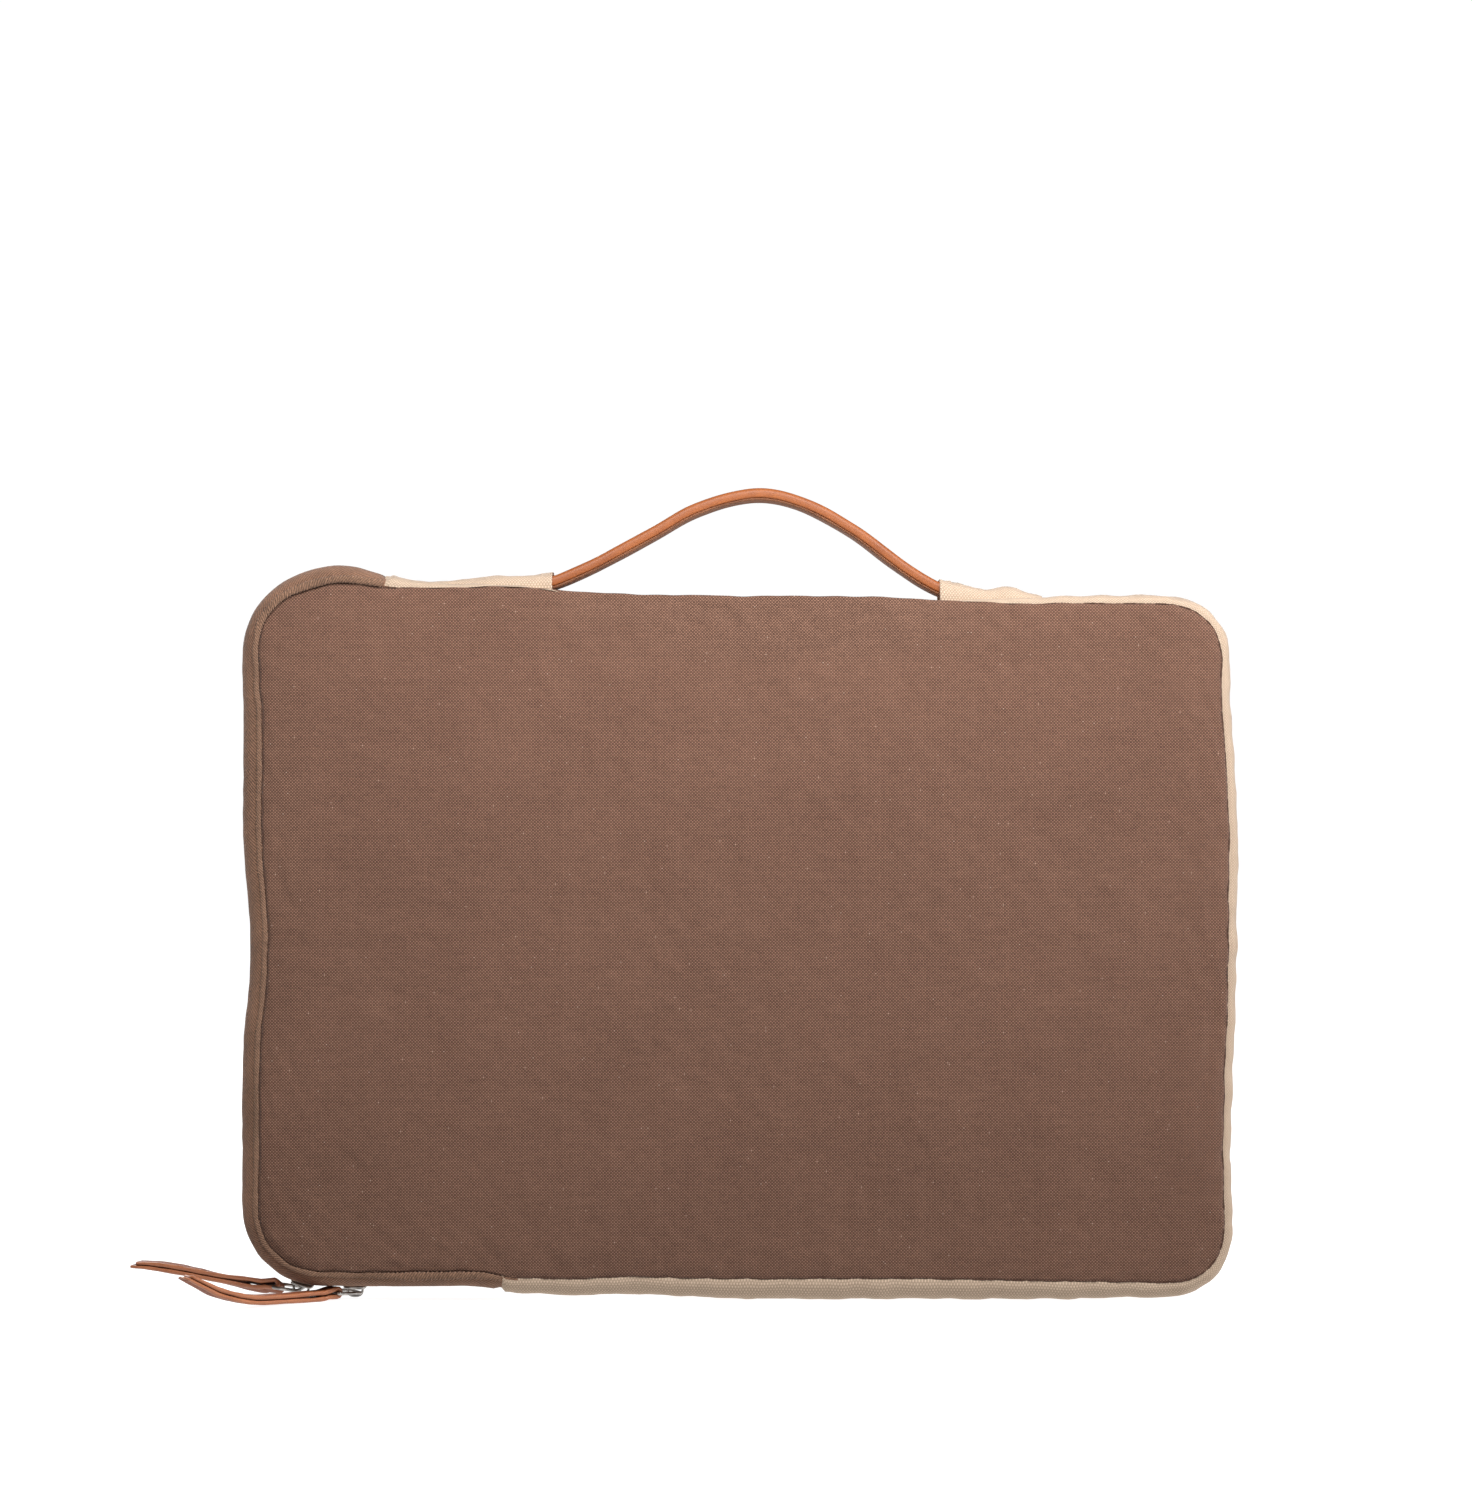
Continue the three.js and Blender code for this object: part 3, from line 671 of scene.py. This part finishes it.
def closed_pad(name, front, inner, face):
    """A face grid and the grid under it joined round their rims."""
    rows, cols = front.shape[:2]
    total = rows * cols
    index = np.arange(total).reshape(rows, cols)
    a, b = index[:-1, :-1].ravel(), index[1:, 1:].ravel()
    c, d = index[1:, :-1].ravel(), index[:-1, 1:].ravel()
    upper = np.stack([a, c, b, d], 1) if face < 0 else np.stack([a, d, b, c], 1)
    lower = upper[:, ::-1] + total
    rim = np.concatenate([index[:, 0], index[-1, 1:], index[-2::-1, -1], index[0, -2:0:-1]])
    after = np.roll(rim, -1)
    side = np.stack([rim, rim + total, after + total, after], 1)
    side = side if face < 0 else side[:, ::-1]
    points = np.concatenate([front.reshape(-1, 3), inner.reshape(-1, 3)])
    faces = np.concatenate([upper, lower, side])
    uv = points[faces.ravel()][:, [0, 2]] * MM
    return make(name, points, faces.tolist(), uv)


def opens(piece):
    """Bakes the piece's place into its points."""
    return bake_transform(piece)


def stands_in(piece, body, *nodes):
    """The piece takes its nodes' place and moves with a body."""
    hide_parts(*nodes)
    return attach(piece, body)


def wall_body(piece, face):
    """A piece of the front wall has its place baked into its points, and one of the back wall moves with
    the root.
    """
    if face < 0:
        opens(piece)
    else:
        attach(piece, "root")


def wall_piece(piece, face, *nodes):
    """A piece of one wall in place of its nodes, and in front also of their halves beyond the fold."""
    halves = ("", "_mouth") if face < 0 else ("",)
    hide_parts(*[node + half for node in nodes for half in halves])
    wall_body(piece, face)


WALLS = (("front", FRONT_INSET, -1), ("back", BACK, 1))


def build_panels():
    for (side, inset, face), seed in zip(WALLS, (0, 40)):
        piece = dress(panel(f"{side}_panel", inset, face, seed), "canvas_brown", BROWN)
        wall_piece(piece, face, f"{side}_canvas", f"{side}_foam")


LINING_Y = 8.9


def build_linings():
    for (side, inset, face), area, seed in zip(WALLS, (0.0765, 0.0755), (61, 62)):
        grid = patch(seam_line(inset + 0.8), 68, 48)
        deep = face * LINING_Y + 0.15 * wave(seed, 30, grid[..., 0], grid[..., 1])
        points = np.stack([grid[..., 0], deep, grid[..., 1]], 2)
        piece = dress(lattice(f"{side}_lining_cloth", points, uv=grid * MM), "lining", LINING)
        wall_piece(piece, face, f"{side}_lining")
    rows = range(-2, TOP_FOLD + 3)
    across = np.linspace(-8.6, 8.6, 9)
    edge = sweep(rows, lambda i: [(-4.6 + 0.25 * math.sin(i * 0.7), y) for y in across])
    around = dress(lattice("gusset_lining_cloth", edge), "lining", LINING)
    stands_in(around, "root", "gusset_lining", "gusset_foam")


def bound_edge(name, inset, face):
    """A folded tape round the raw edges inside the seam."""
    def section(i):
        start = -inset[i] - 0.4
        return [(start, face * 9.0), (start - 0.3, face * 7.6), (start - 0.9, face * 7.0),
                (start - 2.6, face * 7.1), (start - 3.1, face * 7.6), (start - 3.0, face * 8.6)]
    return dress(lattice(name, sweep(range(COUNT + 1), section)), "lining", BINDING)


def build_bindings():
    for side, inset, face in WALLS:
        piece = bound_edge(f"seam_binding_{side}_tape", inset + 1.5, face)
        wall_piece(piece, face, f"seam_binding_{side}")


# ---- the pale edge

def build_gusset():
    """The pale canvas edge: a soft band round the right side, with rolled shoulders and small creases."""
    total = TOP_FOLD + 1

    def section(i):
        ahead, behind = shoulder(FRONT_INSET[i]), shoulder(BACK[i])
        mid = np.linspace(-1, 1, 9)[1:-1]
        low, high = ahead[-1, 1], behind[-1, 1]
        middle = [(0.35 * (1 - m * m), (high - low) / 2 + m * (high + low) / 2) for m in mid]
        return np.vstack([ahead * (1, -1), middle, behind[::-1]])

    points = sweep(range(total), section)
    s = ALONG[:total, None]
    y = points[..., 1]
    crease = 0.2 * wave(31, 16, s + 0 * y, 0.9 * y) + 0.08 * wave(32, 6, s + 0.3 * y, y)
    # The band swells a little before its ends, which are drawn in under the zip tapes.
    k = np.arange(total)[:, None]
    end = np.exp(-np.minimum(k, total - 1 - k) / 1.6)
    keep = np.ones(points.shape[1])
    keep[0] = keep[-1] = 0.2
    # It lies lower under the handle, between the tunnels.
    x, z = points[:, 4:5, 0], points[:, 4:5, 2]
    sunk = (z > HEIGHT / 2) * 1.5 / (1 + np.exp((np.abs(x - 5) - 64) / 2))
    push = (crease + 0.8 * end * (end < 0.95) - 1.4 * (end >= 0.95)) * keep - sunk
    push_out(points, OUT[:total], push)
    points[..., 1] += np.sign(y) * 0.35 * crease * (np.abs(y) > 8)
    points[..., 1] *= 1 - 0.045 * sunk
    points[..., 2] = np.maximum(points[..., 2], 0.05)
    band = dress(lattice("gusset", points), "canvas_natural", NATURAL)
    stands_in(band, "root", "gusset_canvas")


# ---- zip

ZIP_ROWS = range(TOP_FOLD - 3, COUNT + 4)


def tape_points(inset, face):
    """One zip tape: a rolled shoulder, then flat to the coil. Its ends lie under the pale edge."""
    def section(i):
        under = 0.9 if i <= TOP_FOLD else 0.0
        curved = shoulder(inset[i], 10) * (1, face) - (under, 0)
        flat = [(-under, face * y) for y in np.linspace(abs(curved[-1, 1]), 0.7, 7)[1:]]
        return np.vstack([curved, flat, [(-0.5, face * 0.75), (-0.9, face * 1.4)]])
    points = sweep(ZIP_ROWS, section)
    rows = np.array(ZIP_ROWS) % COUNT
    ripple = 0.07 * wave(71, 9, ALONG[rows, None] + 0 * points[..., 1], points[..., 1])
    return push_out(points, OUT[rows], ripple)


def zip_line(shift, y, step=0.35, trim=0):
    """A fine line along the zip, shift outward of the edge: points, the outward direction and the
    distance along at each. trim leaves out that many rows at both ends."""
    rows = np.array(ZIP_ROWS)[trim:len(ZIP_ROWS) - trim] % COUNT
    at = lengths(LINE[rows])
    where = np.arange(0, at[-1], step)
    base, out = (np.stack([np.interp(where, at, values[rows, k]) for k in (0, 1)], 1)
                 for values in (LINE, OUT))
    out /= np.linalg.norm(out, axis=1)[:, None]
    spot = base + out * np.interp(where, at, np.broadcast_to(shift, COUNT)[rows])[:, None]
    return np.stack([spot[:, 0], np.full(len(spot), y), spot[:, 1]], 1), out, where


def rib_strip(name, inset, face):
    """The raised, twisted edge of the tape that lies along the seam."""
    middle, out, where = zip_line(-inset + 1.15, face * (SEAM_Y + 0.6), trim=3)
    turn = full_turn(10)
    x, z = middle[:, 0], middle[:, 2]
    full = 1 / (1 + np.exp((226 - z) / 4)) + (z < 12) * np.exp(-((x + 103) / 18) ** 4)
    middle[:, 1] += face * 0.4 * full
    wide = 0.85 + 0.45 * full + 0.1 * wave(81, 20, where)
    rib = (0.08 + 0.12 * full[:, None]) * np.cos(2 * math.pi * where[:, None] / 1.5 + 1.2 * turn[None])
    radius_out, radius_y = wide[:, None] + rib, 0.22 + 0.33 * full[:, None] + rib
    points = np.empty((len(middle), len(turn), 3))
    points[..., 0] = middle[:, :1] + out[:, :1] * np.cos(turn) * radius_out
    points[..., 2] = middle[:, 2:] + out[:, 1:] * np.cos(turn) * radius_out
    points[..., 1] = middle[:, 1:2] + np.sin(turn) * radius_y
    return rod(name, points, "zip_tape", RIB)


COIL_PITCH, COIL_HALF_WIDTH, COIL_HALF_HEIGHT, COIL_WIRE = 2.0, 1.15, 0.62, 0.3


def coil(name, face):
    """A nylon coil sewn on the tape's inner edge: one round wire in close turns."""
    line, out, where = zip_line(-1.75, face * 1.75, 0.2)
    turn = 2 * math.pi * where / COIL_PITCH
    line[:, [0, 2]] += out * COIL_HALF_HEIGHT * np.cos(turn)[:, None]
    line[:, 1] += face * COIL_HALF_WIDTH * np.sin(turn)
    return rod(name, tube(line, COIL_WIRE, 5), "zip_coil", COIL)


def build_zip():
    for side, inset, face in WALLS:
        tape = dress(lattice(f"zip_tape_{side}_cloth", tape_points(inset, face)), "zip_tape", TAPE)
        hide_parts(f"zip_tape_{side}")
        strip = rib_strip(f"zip_tape_{side}_rib", inset, face)
        turns = coil(f"zip_coil_{side}_turns", face)
        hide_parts(f"zip_coil_{side}")
        for piece in (tape, strip, turns):
            wall_body(piece, face)


# ---- seams

STITCH = 2.7


def seam_thread_and_shade(name, inset, face):
    """The seam's own thread, in stitches, sunk between the panel and the edge: a dark tube that is also
    painted shade along the seam's crevice.
    """
    seam = seam_line(inset)
    closed = np.vstack([seam, seam[:1]])
    at = lengths(closed)
    where = np.arange(0, at[-1], 0.4)
    line = np.stack([np.interp(where, at, closed[:, k]) for k in (0, 1)], 1)
    deep = face * (SEAM_Y + 0.02 + 0.1 * wave(91, 7, where))
    points = np.stack([line[:, 0], deep, line[:, 1]], 1)
    stitch = np.abs(np.sin(math.pi * where / STITCH)) ** 0.6
    shown = np.clip((np.interp(where, at, np.append(inset, inset[0])) - 1.6) / 1.5, 0.05, 1)
    return rod(name, tube(points, shown * (0.12 + 0.16 * stitch), 6), "thread", THREAD_AND_SHADE)


def build_seams():
    for side, inset, face in WALLS:
        wall_body(seam_thread_and_shade(f"seam_thread_and_shade_{side}", inset, face), face)


# ---- handle

STRAP_LINE = [(-80, 243.2), (-72, 243.2), (-64, 244.2), (-50, 250.1), (-31, 260.2), (-14, 269.5),
              (5, 274.3), (21, 271.4), (38, 262.5), (56, 249.3), (64, 244.2), (71, 241.2), (78, 240.4)]
STRAP_WIDTH, STRAP_TOP, STRAP_BACKING, STRAP_TOTAL = 16, 3.35, 0.6, 4.15


def strap(name, slot, material, width, thick, offset, top, bottom):
    """A layer of the handle: a section swept along the strap's line, offset from its middle. top and
    bottom are the radii of the section's corners."""
    line = resample(curve(STRAP_LINE, 12), 130)
    up = left_of(headings(line))
    section = rounded(width, thick, top, bottom, 5)
    soft = 0.12 * wave(int(offset * 10) + 101, 22, lengths(line))
    high = section[None, :, 1] + offset + soft[:, None] * 0.4
    points = np.empty((len(line), len(section), 3))
    points[..., 0] = line[:, :1] + up[:, :1] * high
    points[..., 2] = line[:, 1:] + up[:, 1:] * high
    points[..., 1] = section[None, :, 0] * (1 + 0.01 * soft[:, None])
    return rod(name, points, slot, material, flip=True)


def swings(piece):
    """Bakes the strap layer's place into its points."""
    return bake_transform(piece)


def build_handle():
    middle = STRAP_TOTAL / 2
    leather = strap("handle_leather", "leather", LEATHER, STRAP_WIDTH, STRAP_TOP, middle - STRAP_TOP / 2,
                    1.5, 0.7)
    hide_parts("handle_strap", "handle_end_left", "handle_end_right")
    core = strap("handle_core", "leather", RAW, STRAP_WIDTH - 1.4, 0.4, middle - STRAP_TOP - 0.1,
                 0.15, 0.15)
    below = strap("handle_underside", "leather_back", FLESH, STRAP_WIDTH - 0.2, STRAP_BACKING,
                  STRAP_BACKING / 2 - middle, 0.3, 0.45)
    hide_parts("handle_backing")
    for layer in (leather, core, below):
        swings(layer)


def top_at(x):
    """The height of the sleeve's upper edge at x."""
    upper = LINE[LINE[:, 1] > HEIGHT / 2]
    upper = upper[np.argsort(upper[:, 0])]
    return float(np.interp(x, upper[:, 0], upper[:, 1]))


def tunnel(name, stations, node, seed, mouth_at_end):
    """A cloth tunnel over the strap's end. stations are x, the cloth's top, and its half width."""
    line = curve(stations, 7)
    turn = np.linspace(0, math.pi, 25)
    rows = []
    for x, top, half in line:
        base = top_at(x) - 2.6
        side, high = squared(np.cos(turn), 0.55), np.sin(turn) ** 0.6
        rows.append(np.stack([np.full(len(turn), x), half * side, base + (top - base) * high], 1))
    points = np.array(rows)
    x, y, z = points[..., 0], points[..., 1], points[..., 2]
    soft = 0.25 * wave(seed, 11, x, y, z) + 0.12 * wave(seed + 1, 5, x, y, z)
    points[..., 2] += soft * np.sin(turn) ** 0.5
    points[..., 1] -= 0.8 * soft * np.cos(turn)
    edge = points[-1] if mouth_at_end else points[0]
    way = -1 if mouth_at_end else 1
    mid = np.array([edge[0, 0], 0, edge[:, 2].mean()])
    hem = []
    for deep, share in ((0.35, 0.99), (0.45, 0.93), (0.1, 0.88), (-0.8, 0.86), (-3.5, 0.84)):
        ring = mid + (edge - mid) * (1, share, share)
        ring[:, 0] = edge[:, 0] - way * deep
        hem.append(ring)
    hem = np.array(hem)
    points = np.concatenate([points, hem]) if mouth_at_end else np.concatenate([hem[::-1], points])
    piece = dress(lattice(name, points, flip=not mouth_at_end), "canvas_natural", NATURAL)
    return stands_in(piece, "root", node)


LEFT_TUNNEL = [
    (-120.5, 246.6, 9.8), (-117, 246.4, 9.9), (-112, 245.2, 10), (-106, 244.5, 10), (-98, 245, 10),
    (-90, 246, 10), (-84, 246.6, 10), (-75, 246.7, 10), (-68, 247.3, 10), (-64.2, 248, 10),
]
RIGHT_TUNNEL = [
    (68.6, 245.4, 10), (72, 244.8, 10), (79, 243.4, 10), (85, 241.9, 10), (91, 243.1, 10),
    (97, 241.6, 9.8), (103, 239.9, 9.5),
]


def build_tunnels():
    left = tunnel("tunnel_left", LEFT_TUNNEL, "handle_tunnel_left", 121, True)
    right = tunnel("tunnel_right", RIGHT_TUNNEL, "handle_tunnel_right", 131, False)


# ---- sliders, rings and pulls

def pivot(joint):
    """Where a joint turns, in mm."""
    return np.array(JOINTS[joint]["pos_m"]) / MM


def place_of(letter):
    """A slider's own axes: the point of the tape under it, outward, and along the zip."""
    axle = pivot(f"ring_{letter}_swing")
    out = axle - pivot("zip_slider_a") if letter == "a" else -Z_AXIS
    out = out / np.linalg.norm(out)
    return axle - AXLE_HEIGHT * out, out, np.cross(Y_AXIS, out)


def stacked(base, out, ahead, long, wide, levels):
    """Rings of a flat metal piece: its outline, long and wide of its middle, at each height over the
    base and each share of its full size."""
    outline = long[:, None] * ahead + wide[:, None] * Y_AXIS
    return np.array([base + high * out + share * outline for high, share in levels])


AXLE_HEIGHT = 2.75
PLATE = [(0.45, 0.8), (0.45, 0.94), (0.6, 1.0), (1.1, 1.0), (1.4, 0.94), (1.62, 0.8), (1.72, 0.4),
         (1.74, 0.05)]
BAIL = [(-2.6, 1.2), (-2.55, 2.4), (-2.1, 3.6), (-1.0, 4.15), (0.6, 4.2), (1.9, 3.8), (2.55, 2.7),
        (2.6, 1.2)]


def slider(letter):
    """A zip slider: a rounded plate, and the bail that holds the ring."""
    body = f"slider_{letter}"
    base, out, ahead = place_of(letter)
    turn = full_turn(40)
    long = 4.0 * squared(np.cos(turn), 0.65)
    wide = (4.0 - 0.5 * np.cos(turn)) * squared(np.sin(turn), 0.6)
    rings = stacked(base, out, ahead, long, wide, PLATE)
    stands_in(rod(f"{body}_plate", rings, "metal", STEEL), body, f"{body}_body")
    arch = curve(BAIL, 6)
    middle = base + arch[:, :1] * ahead + arch[:, 1:] * out
    bend = left_of(headings(arch))
    across = bend[:, :1] * ahead + bend[:, 1:] * out
    section = rounded(1.6, 0.75, 0.3, 0.3, 3)
    points = middle[:, None] + section[None, :, :1] * Y_AXIS + section[None, :, 1:] * across[:, None]
    stands_in(rod(f"{body}_loop", points, "metal", STEEL), body, f"{body}_bail")


def ring_axes(letter):
    """The ring's two ends, at the bail and in the pull, and its directions ahead and level across."""
    near, far = pivot(f"ring_{letter}_swing"), pivot(f"pull_{letter}_swing")
    ahead = (far - near) / np.linalg.norm(far - near)
    side = np.array([-ahead[1], ahead[0], 0])
    return near, far, ahead, side / np.linalg.norm(side)


RING_WIRE = 0.6


def ring(letter):
    """The rectangular wire ring between the slider and the pull."""
    near, far, ahead, side = ring_axes(letter)
    length, half, corner = np.linalg.norm(far - near), 4.6, 1.3
    line = []
    for cx, cy, start in ((length - corner, half - corner, 0), (corner, half - corner, 90),
                          (corner, corner - half, 180), (length - corner, corner - half, 270)):
        for turn in np.radians(np.linspace(start, start + 90, 7)):
            line.append((cx + corner * math.cos(turn), cy + corner * math.sin(turn)))
    line = np.array(line[-1:] + line + line[:1])
    points = tube(near + line[:, :1] * ahead + line[:, 1:] * side, RING_WIRE, 12)[1:-1]
    piece = dress(lattice(f"ring_{letter}_wire", points, loop=True, tube=True), "metal", STEEL)
    stands_in(piece, f"ring_{letter}", f"ring_{letter}")


PULL_WIDTH, PULL_LAYER, PULL_LEAN = 7.6, 1.5, 3.0
PULL_A = [(6, -0.1), (18, 1.7), (32, 4.3), (43, 5.8), (51, 6.2)]
PULL_B = [(6, -0.7), (20, -0.5), (32, 0.2), (43, 3.2), (50, 6.6), (56, 9.8)]


def worn(to_tip):
    """How much of its thickness the leather has at a distance from its tip."""
    return 0.66 + 0.34 * np.clip(to_tip / 12, 0, 1)


def leather_strip(letter, line, section, lean):
    """A strip's points in space. line is ahead of the ring and up, and section gives points across,
    ahead and up at each place. The near edge is raised by PULL_LEAN, and by lean more at the ring."""
    _, far, _, across = ring_axes(letter)
    ahead = np.cross(across, Z_AXIS)
    tilt = np.radians(PULL_LEAN + lean * np.exp(-(line[:, :1] / 23) ** 2))
    side = (across * np.cos(tilt) + Z_AXIS * np.sin(tilt))[:, None]
    return far + section[..., 1:2] * ahead + section[..., :1] * side + section[..., 2:] * Z_AXIS


def pull(letter, middle, gape, lean):
    """A leather strip folded double round the ring's wire, its two ends side by side at the tip, with
    glue between them, coloured dark as painted shade in the gap. gape is how far the fold stands open."""
    middle = curve([(3.4, middle[0][1] * 0.6)] + middle, 8)
    up = left_of(headings(middle))
    apart = (PULL_LAYER / 2 * worn(middle[-1, 0] - middle[:, 0]) + 0.13
             + gape * np.exp(-((middle[:, 0] - 8.5) / 5.5) ** 2))
    above, below = middle + up * apart[:, None], middle - up * apart[:, None]
    turn = np.radians(np.linspace(100, 260, 9))
    bight = np.stack([1.42 * np.cos(turn), 1.42 * np.sin(turn)], 1)
    line = resample(curve(np.vstack([above[::-1][2:], bight, below]), 4), 190)
    lift = left_of(headings(line))
    outline = rounded(PULL_WIDTH, PULL_LAYER, 0.66, 0.66, 3)
    s = lengths(line)
    wide = 1 + 0.012 * wave(ord(letter), 14, s)
    thick = worn(np.minimum(s, s[-1] - s)) * (1 + 0.05 * wave(ord(letter) + 5, 9, s))
    spot = line[:, None] - lift[:, None] * (outline[:, 1] * thick[:, None])[..., None]
    section = np.concatenate([(outline[:, 0] * wide[:, None])[..., None], spot], 2)
    after = np.roll(outline, -1, 0)
    flat = np.abs(outline[:, 1] - after[:, 1]) < 1e-6
    kinds = np.where(flat, (outline[:, 1] < 0).astype(int), 2)
    piece = rod(f"pull_{letter}_leather", leather_strip(letter, line, section, lean), "leather",
                PULL_HIDE, PULL_FLESH, BURNISHED, shade=kinds)
    stands_in(piece, f"pull_{letter}", f"pull_{letter}")
    inside = middle[(middle[:, 0] > 9) & (middle[:, 0] < middle[-1, 0] - 1)]
    strip = rounded(PULL_WIDTH - 0.9, 0.5, 0.1, 0.1, 2)
    section = np.empty((len(inside), len(strip), 3))
    section[..., 0], section[..., 1] = strip[:, 0], inside[:, :1]
    section[..., 2] = inside[:, 1:] + strip[:, 1]
    points = leather_strip(letter, inside, section, lean)
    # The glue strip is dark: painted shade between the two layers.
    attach(rod(f"pull_{letter}_glue", points, "leather", SHADED_GLUE), f"pull_{letter}")


CLAMP = [(-0.4, 0.8), (-0.3, 0.97), (0.0, 1.0), (0.25, 0.96), (0.4, 0.8), (0.45, 0.3)]


def stop(end, index):
    """A crimped clamp over both rows of the coil, where the tape goes under the pale edge."""
    out = np.array([OUT[index][0], 0, OUT[index][1]])
    base = np.array([LINE[index][0], 0, LINE[index][1]]) - 0.55 * out
    turn = full_turn(28)
    long, wide = 1.15 * squared(np.cos(turn), 0.5), 3.3 * squared(np.sin(turn), 0.5)
    rings = stacked(base, out, np.cross(out, Y_AXIS), long, wide, CLAMP)
    stands_in(rod(f"zip_stop_{end}_clamp", rings, "metal", STEEL), "root", f"zip_stop_{end}")


def build_hardware():
    for letter in "ab":
        slider(letter)
        ring(letter)
    pull("a", PULL_A, 0.35, 17)
    pull("b", PULL_B, 0.2, 1)
    stop("top", TOP_FOLD + 1)
    stop("bottom", COUNT - 1)


# ---- studio

BOUNCE, SKY_LOW, SKY_HIGH = 1.3, 0.07, 0.25
FLOOR_SIZE, BACKDROP_RADIUS = 6000, 6000


def build_studio():
    scene = bpy.context.scene
    scene.view_settings.view_transform = "Standard"
    camera = bpy.data.objects.new("camera", bpy.data.cameras.new("camera"))
    camera.location = (-0.0012, -1.3, 0.1872)
    camera.rotation_euler = (math.radians(90), 0, 0)
    camera.data.lens = 91.1
    scene.collection.objects.link(camera)
    scene.camera = camera
    pale_floor()
    white_backdrop()
    sky(scene)
    lamp("key", (0.065, -0.3, 0.46), (0.01, 0, 0.21), 0.7, 0.24, 3.8)
    lamp("side", (0.9, -0.1, 0.08), (0.17, 0, 0.1), 0.4, 0.4, 4.7)
    lamp("behind", (-0.55, 0.75, 0.45), (0, 0, 0.12), 0.8, 0.4, 6.0)


def pale_floor():
    """A plain floor just under the sleeve, nearly white and brighter far away."""
    reach = FLOOR_SIZE / 2
    corners = np.array([(-reach, -reach, -0.3), (reach, -reach, -0.3), (reach, reach, -0.3),
                        (-reach, reach, -0.3)], float)
    floor = make("floor", corners, [[0, 1, 2, 3]], [(0, 0), (1, 0), (1, 1), (0, 1)])
    pale = Paint("floor", Emission_Color=color(1, 1, 1))
    away = pale.add("VectorMath", {0: pale.place()}, operation="LENGTH").outputs["Value"]
    glow = pale.plus(0.9, pale.times(pale.ramp(away, 0.35, 1.1), 0.12))
    pale.put(pale.shader.inputs["Emission Strength"], glow)
    grain = pale.noise(40, pale.place(), 2)
    floor.visible_diffuse = False
    tone = pale.mix(grain, (0.4, 0.4, 0.4), (0.44, 0.44, 0.44))
    floor.data.materials.append(pale.finish(tone, 0.9))


def sky(scene):
    """Light from every direction: a warm bounce from below, dim at the level, a little more above."""
    scene.world = bpy.data.worlds.new("studio")
    scene.world.use_nodes = True
    nodes = Nodes(scene.world.node_tree)
    high = nodes.add("SeparateXYZ", {0: nodes.add("TexCoord").outputs["Generated"]}).outputs[2]
    ramp = nodes.add("ValToRGB", {0: nodes.ramp(high, -1, 1)})
    nodes.put(nodes.tree.nodes["Background"].inputs[0], ramp.outputs[0])
    stops = ramp.color_ramp.elements
    stops[0].position, stops[0].color = 0.0, color(BOUNCE, BOUNCE * 0.98, BOUNCE * 0.95)
    stops[1].position, stops[1].color = 0.5, color(SKY_LOW, SKY_LOW, SKY_LOW)
    stops.new(0.95).color = color(SKY_HIGH, SKY_HIGH, SKY_HIGH)


def white_backdrop():
    """A white backdrop all round, seen by the camera only."""
    turn = full_turn(48)
    rise = np.linspace(-1.4, 1.5, 16)
    level, high = np.cos(rise)[:, None], np.sin(rise)[:, None]
    points = BACKDROP_RADIUS * np.stack([level * np.cos(turn), level * np.sin(turn), high + 0 * turn], 2)
    wall = lattice("backdrop", points, tube=True, ends=True)
    white = Paint("backdrop", Emission_Color=color(1, 1, 1), Emission_Strength=1.0)
    white.shader.inputs["Base Color"].default_value = color(0, 0, 0)
    wall.data.materials.append(white.material)
    wall.visible_diffuse = wall.visible_glossy = wall.visible_shadow = wall.visible_transmission = False


def lamp(name, place, aim, wide, high, power):
    """A soft light of wide by high metres, with its power in watts."""
    light = bpy.data.lights.new(name, "AREA")
    light.shape, light.size, light.size_y, light.energy = "RECTANGLE", wide, high, power
    holder = bpy.data.objects.new(name, light)
    bpy.context.scene.collection.objects.link(holder)
    holder.location = place
    holder.rotation_euler = (Vector(aim) - Vector(place)).to_track_quat("-Z", "Y").to_euler()


build_studio()
build_panels()
build_linings()
build_bindings()
build_gusset()
build_zip()
build_seams()
build_handle()
build_tunnels()
build_hardware()
